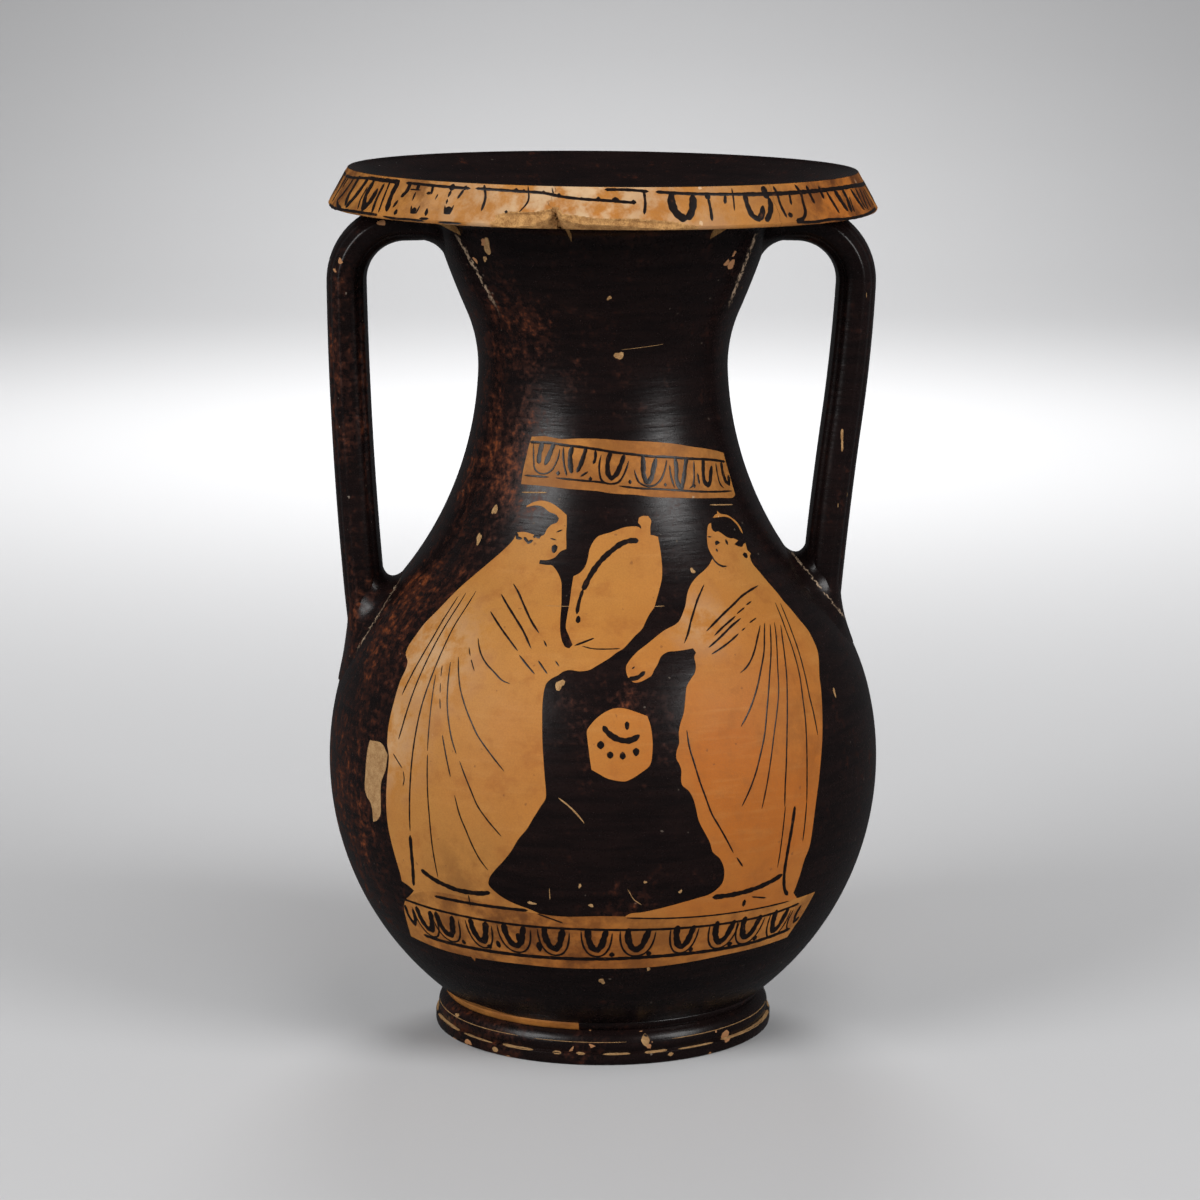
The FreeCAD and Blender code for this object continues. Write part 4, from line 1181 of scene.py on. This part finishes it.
chipPlaces = [
    (-9.5, 116.8, 2.4, 2.6), (-43.5, 159.8, 1.6, 3.2), (-46.5, 151.5, 1.6, 3.4), (28.5, 144.5, 1.6, 1.2),
    (59.5, 107.8, 1.2, 2.2), (2.3, 221.5, 1.2, 1.2), (7, 204.5, 2.2, 2.6), (-15, 55, 2.4, 0.8),
    (-2.5, 55, 1.6, 0.8), (-4.7, 61, 0.9, 1.1), (16, 58.5, 0.9, 1.1), (8.5, 62, 0.8, 0.9),
    (-0.3, 29.5, 1.6, 1.8), (11, 33.5, 1.2, 1), (-42.8, 235.2, 2.6, 4.4), (-45.5, 231.5, 1.3, 1.8),
]
wallChips = [(0.08, chip(*entry, number * 1.3)) for number, entry in enumerate(chipPlaces)]
bareSweep = [
    -92,10.8, -80,11.9, -68,12.6, -58,13.2, -46.4,13.6, -36,12.6, -24,11.4, -9.6,10.6, -24,10.4, -46,10.3,
    -70,10.3, -88,10.3,
]
laid("bareSweep", [(0.05, bareSweep)], patternClay, 1.0)
laid("wallChips", [(0.06, wornPatch)] + wallChips, wornClay, 1.0)
wallScratches = [
    (0.45, [-8.8,86.5, -6.5,84, -4.5,81, -3.7,79.5]), (0.25, [5,60, 6.5,56.5, 8,55]), (0.25, [-11,60,
    -11,56.5]), (0.35, [-33,165.3, -22,165.8]), (0.35, [43.5,161.1, 52,160.4, 56.5,160]), (0.12, [8,206.2,
    18,206.8, 27,207.4]), (0.15, [-16,136.3, -9,136.4]), (0.15, [14,136.2, 17,136.2]),
]
drawn("wallScratches", wallScratches, onWall, 0.02, wornClay)

footLines = [
    (0.3, [-175,3.4, -120,3.45, -84,3.4]), (0.45, [-80,3.4, -66,3.5, -58,3.4]), (0.3, [-55,3.4, -40,3.3]),
    (0.5, [-36,3.5, -30,3.4, -24,3.4]), (0.7, [-17,3.4, -14,3.3]), (0.6, [-9,3.5, -6,3.4]), (0.4, [0,3.4,
    9,3.4]), (0.5, [14,3.4, 22,3.5]), (0.3, [26,3.4, 40,3.4]), (0.5, [44,3.5, 62,3.4, 84,3.45]),
    (0.3, [88,3.4, 130,3.4, 174,3.4]), (0.2, [-86,6.8, -60,6.7, -30,6.8]), (0.15, [-24,6.7, 8,6.7]),
    (0.2, [24,6.6, 50,6.7, 82,6.7]), (3.4, [13,6.9, 15.9,6.9]), (1.6, [-40,1.6, -37.5,1.5]), (1.2, [22,2.2,
    24,2.4]), (1, [-63,7.2, -60,7.4]),
]
drawn("footWornLines", footLines, onFoot, 0.0, wornClay)
strapChips = [
    (1.5, [91,79.5, 88,82.5, 84,86]), (0.7, [78,101, 77,102.2]), (0.6, [48,98, 47,99.3]), (0.8, [66,40,
    64,41.5]),
]
drawn("handleChips", strapChips, onStrap(handleValues["right"]), 0.03, wornClay)


# The other side of the jar: the same scene, read in a mirror

def behind(entries):
    # the same tables with each turn taken back from the half turn
    return [(first, np.reshape(table, (-1, 2)) * [-1.0, 1.0] + [180.0, 0.0]) for first, table in entries]


laid("backFigures", behind(figureSheets), figureClay)
laid("backPatternBands", behind(bandSheets), patternClay)
drawn("backFigureLines", behind(bodyStrokes))
drawn("backEggBands", behind(upperBandStrokes + lowerBandStrokes))
drawn("backMouthBandLines", behind(bandStrokes), onBand, 0.04)
mouthSideStrokes = [
    (1, [80.5,251, 90,250.9, 99.5,251]), (1.6, [83.2,250.6, 83.6,247.5, 85,245.6, 86.3,247.8, 86.6,250.6]),
    (0.8, [88.4,250.4, 88.6,246]), (1.7, [91,250.5, 91.2,247.6, 92.6,245.6, 93.9,247.6, 94.3,250.5]),
    (0.8, [97,250.4, 96.8,245.8]), (0.9, [-100.5,253.7, -90,253.9, -80,253.7]), (1.6, [-98,253.4,
    -97.7,249.5, -96.4,246.6, -95,249.8, -94.6,253.4]), (0.8, [-92.3,253.2, -92.6,247.4]),
    (1.6, [-89.8,253.4, -89.5,250, -88.2,246.8, -86.9,249.6, -86.5,253.3]), (0.8, [-84.2,253.2, -84,247.6]),
    (1.2, [-82.4,253.3, -81.8,249]),
]
drawn("mouthSideLines", mouthSideStrokes, onBand, 0.04)


# Floor, light and camera

studioValues = {
    "cameraPlace": (-0.00087, -1.11605, 0.33219), "cameraTilt": 79.61, "lens": 115.15,
    "floorColour": (206, 206, 207), "worldColour": (0.55, 0.56, 0.58), "worldStrength": 0.10,
    "levelRadius": 2.0, "bendRadius": 2.0, "bendSteps": 16, "rimHeight": 5.0, "around": 96,
    # each lamp: where it is, what it faces, its size, its power, and whether shiny skins mirror it
    "lamps": {
        "leftSoftbox": ((-1.3, -1.1, 0.9), (0, 0, 0.12), 1.0, 22.0, True),
        "rightSoftbox": ((1.4, -1.0, 0.9), (0, 0, 0.12), 0.9, 20.0, True),
        "topSoftbox": ((0.3, -0.9, 1.9), (0, 0, 0.12), 0.9, 8.0, False),
        "floorWash": ((0.0, 1.3, 0.9), (0, 1.25, 0), 0.6, 14.0, False),
        "backWash": ((0.0, 2.2, 0.8), (0, 2.9, 0.25), 0.5, 4.5, False),
    },
}


def softLamp(name, place, aim, size, power, mirrored):
    # a round soft lamp turned to face its aim
    lamp = bpy.data.lights.new(name, "AREA")
    lamp.shape, lamp.size, lamp.energy = "DISK", size, power
    holder = bpy.data.objects.new(name, lamp)
    holder.location = place
    holder.rotation_euler = (Vector(aim) - Vector(place)).to_track_quat("-Z", "Y").to_euler()
    holder.visible_camera, holder.visible_glossy = False, mirrored
    bpy.context.scene.collection.objects.link(holder)


def paleFloor():
    # a level round floor whose rim curves up into a backdrop on every side
    level, curve, around = studioValues["levelRadius"], studioValues["bendRadius"], studioValues["around"]
    bend = np.linspace(0.0, math.pi / 2, studioValues["bendSteps"])
    flat = [(0.01, 0.0), (0.5, 0.0), (1.2, 0.0)]
    rising = np.stack([level + curve * np.sin(bend), curve - curve * np.cos(bend)], -1)
    profile = np.concatenate([flat, rising, [(level + curve, studioValues["rimHeight"])]])
    places = lathe(profile, np.arange(around) * 360 / around)
    faces = gridFaces(len(profile), around, closedColumns=True)[:, ::-1]
    mesh = bpy.data.meshes.new("paleFloor")
    mesh.from_pydata(places.reshape(-1, 3).tolist(), [], faces.tolist())
    mesh.update()
    matt = {"Base Color": tint(*studioValues["floorColour"]), "Roughness": 0.9, "Specular IOR Level": 0.1}
    mesh.materials.append(newFinish("paleFloorFinish", matt)[0])
    mesh.polygons.foreach_set("use_smooth", np.ones(len(mesh.polygons), bool))
    floor = bpy.data.objects.new("paleFloor", mesh)
    floor.visible_glossy = False
    bpy.context.scene.collection.objects.link(floor)


paleFloor()
for name, values in studioValues["lamps"].items():
    softLamp(name, *values)
world = bpy.data.worlds.new("studioAir")
world.use_nodes = True
air = world.node_tree.nodes["Background"].inputs
air["Color"].default_value = (*studioValues["worldColour"], 1.0)
air["Strength"].default_value = studioValues["worldStrength"]
bpy.context.scene.world = world
camera = bpy.data.objects.new("camera", bpy.data.cameras.new("camera"))
camera.location = studioValues["cameraPlace"]
camera.rotation_euler = (math.radians(studioValues["cameraTilt"]), 0.0, 0.0)
camera.data.lens = studioValues["lens"]
camera.data.sensor_width = 36.0
bpy.context.scene.collection.objects.link(camera)
bpy.context.scene.camera = camera
bpy.context.scene.view_settings.view_transform = "Standard"
print("floor, lamps and camera")
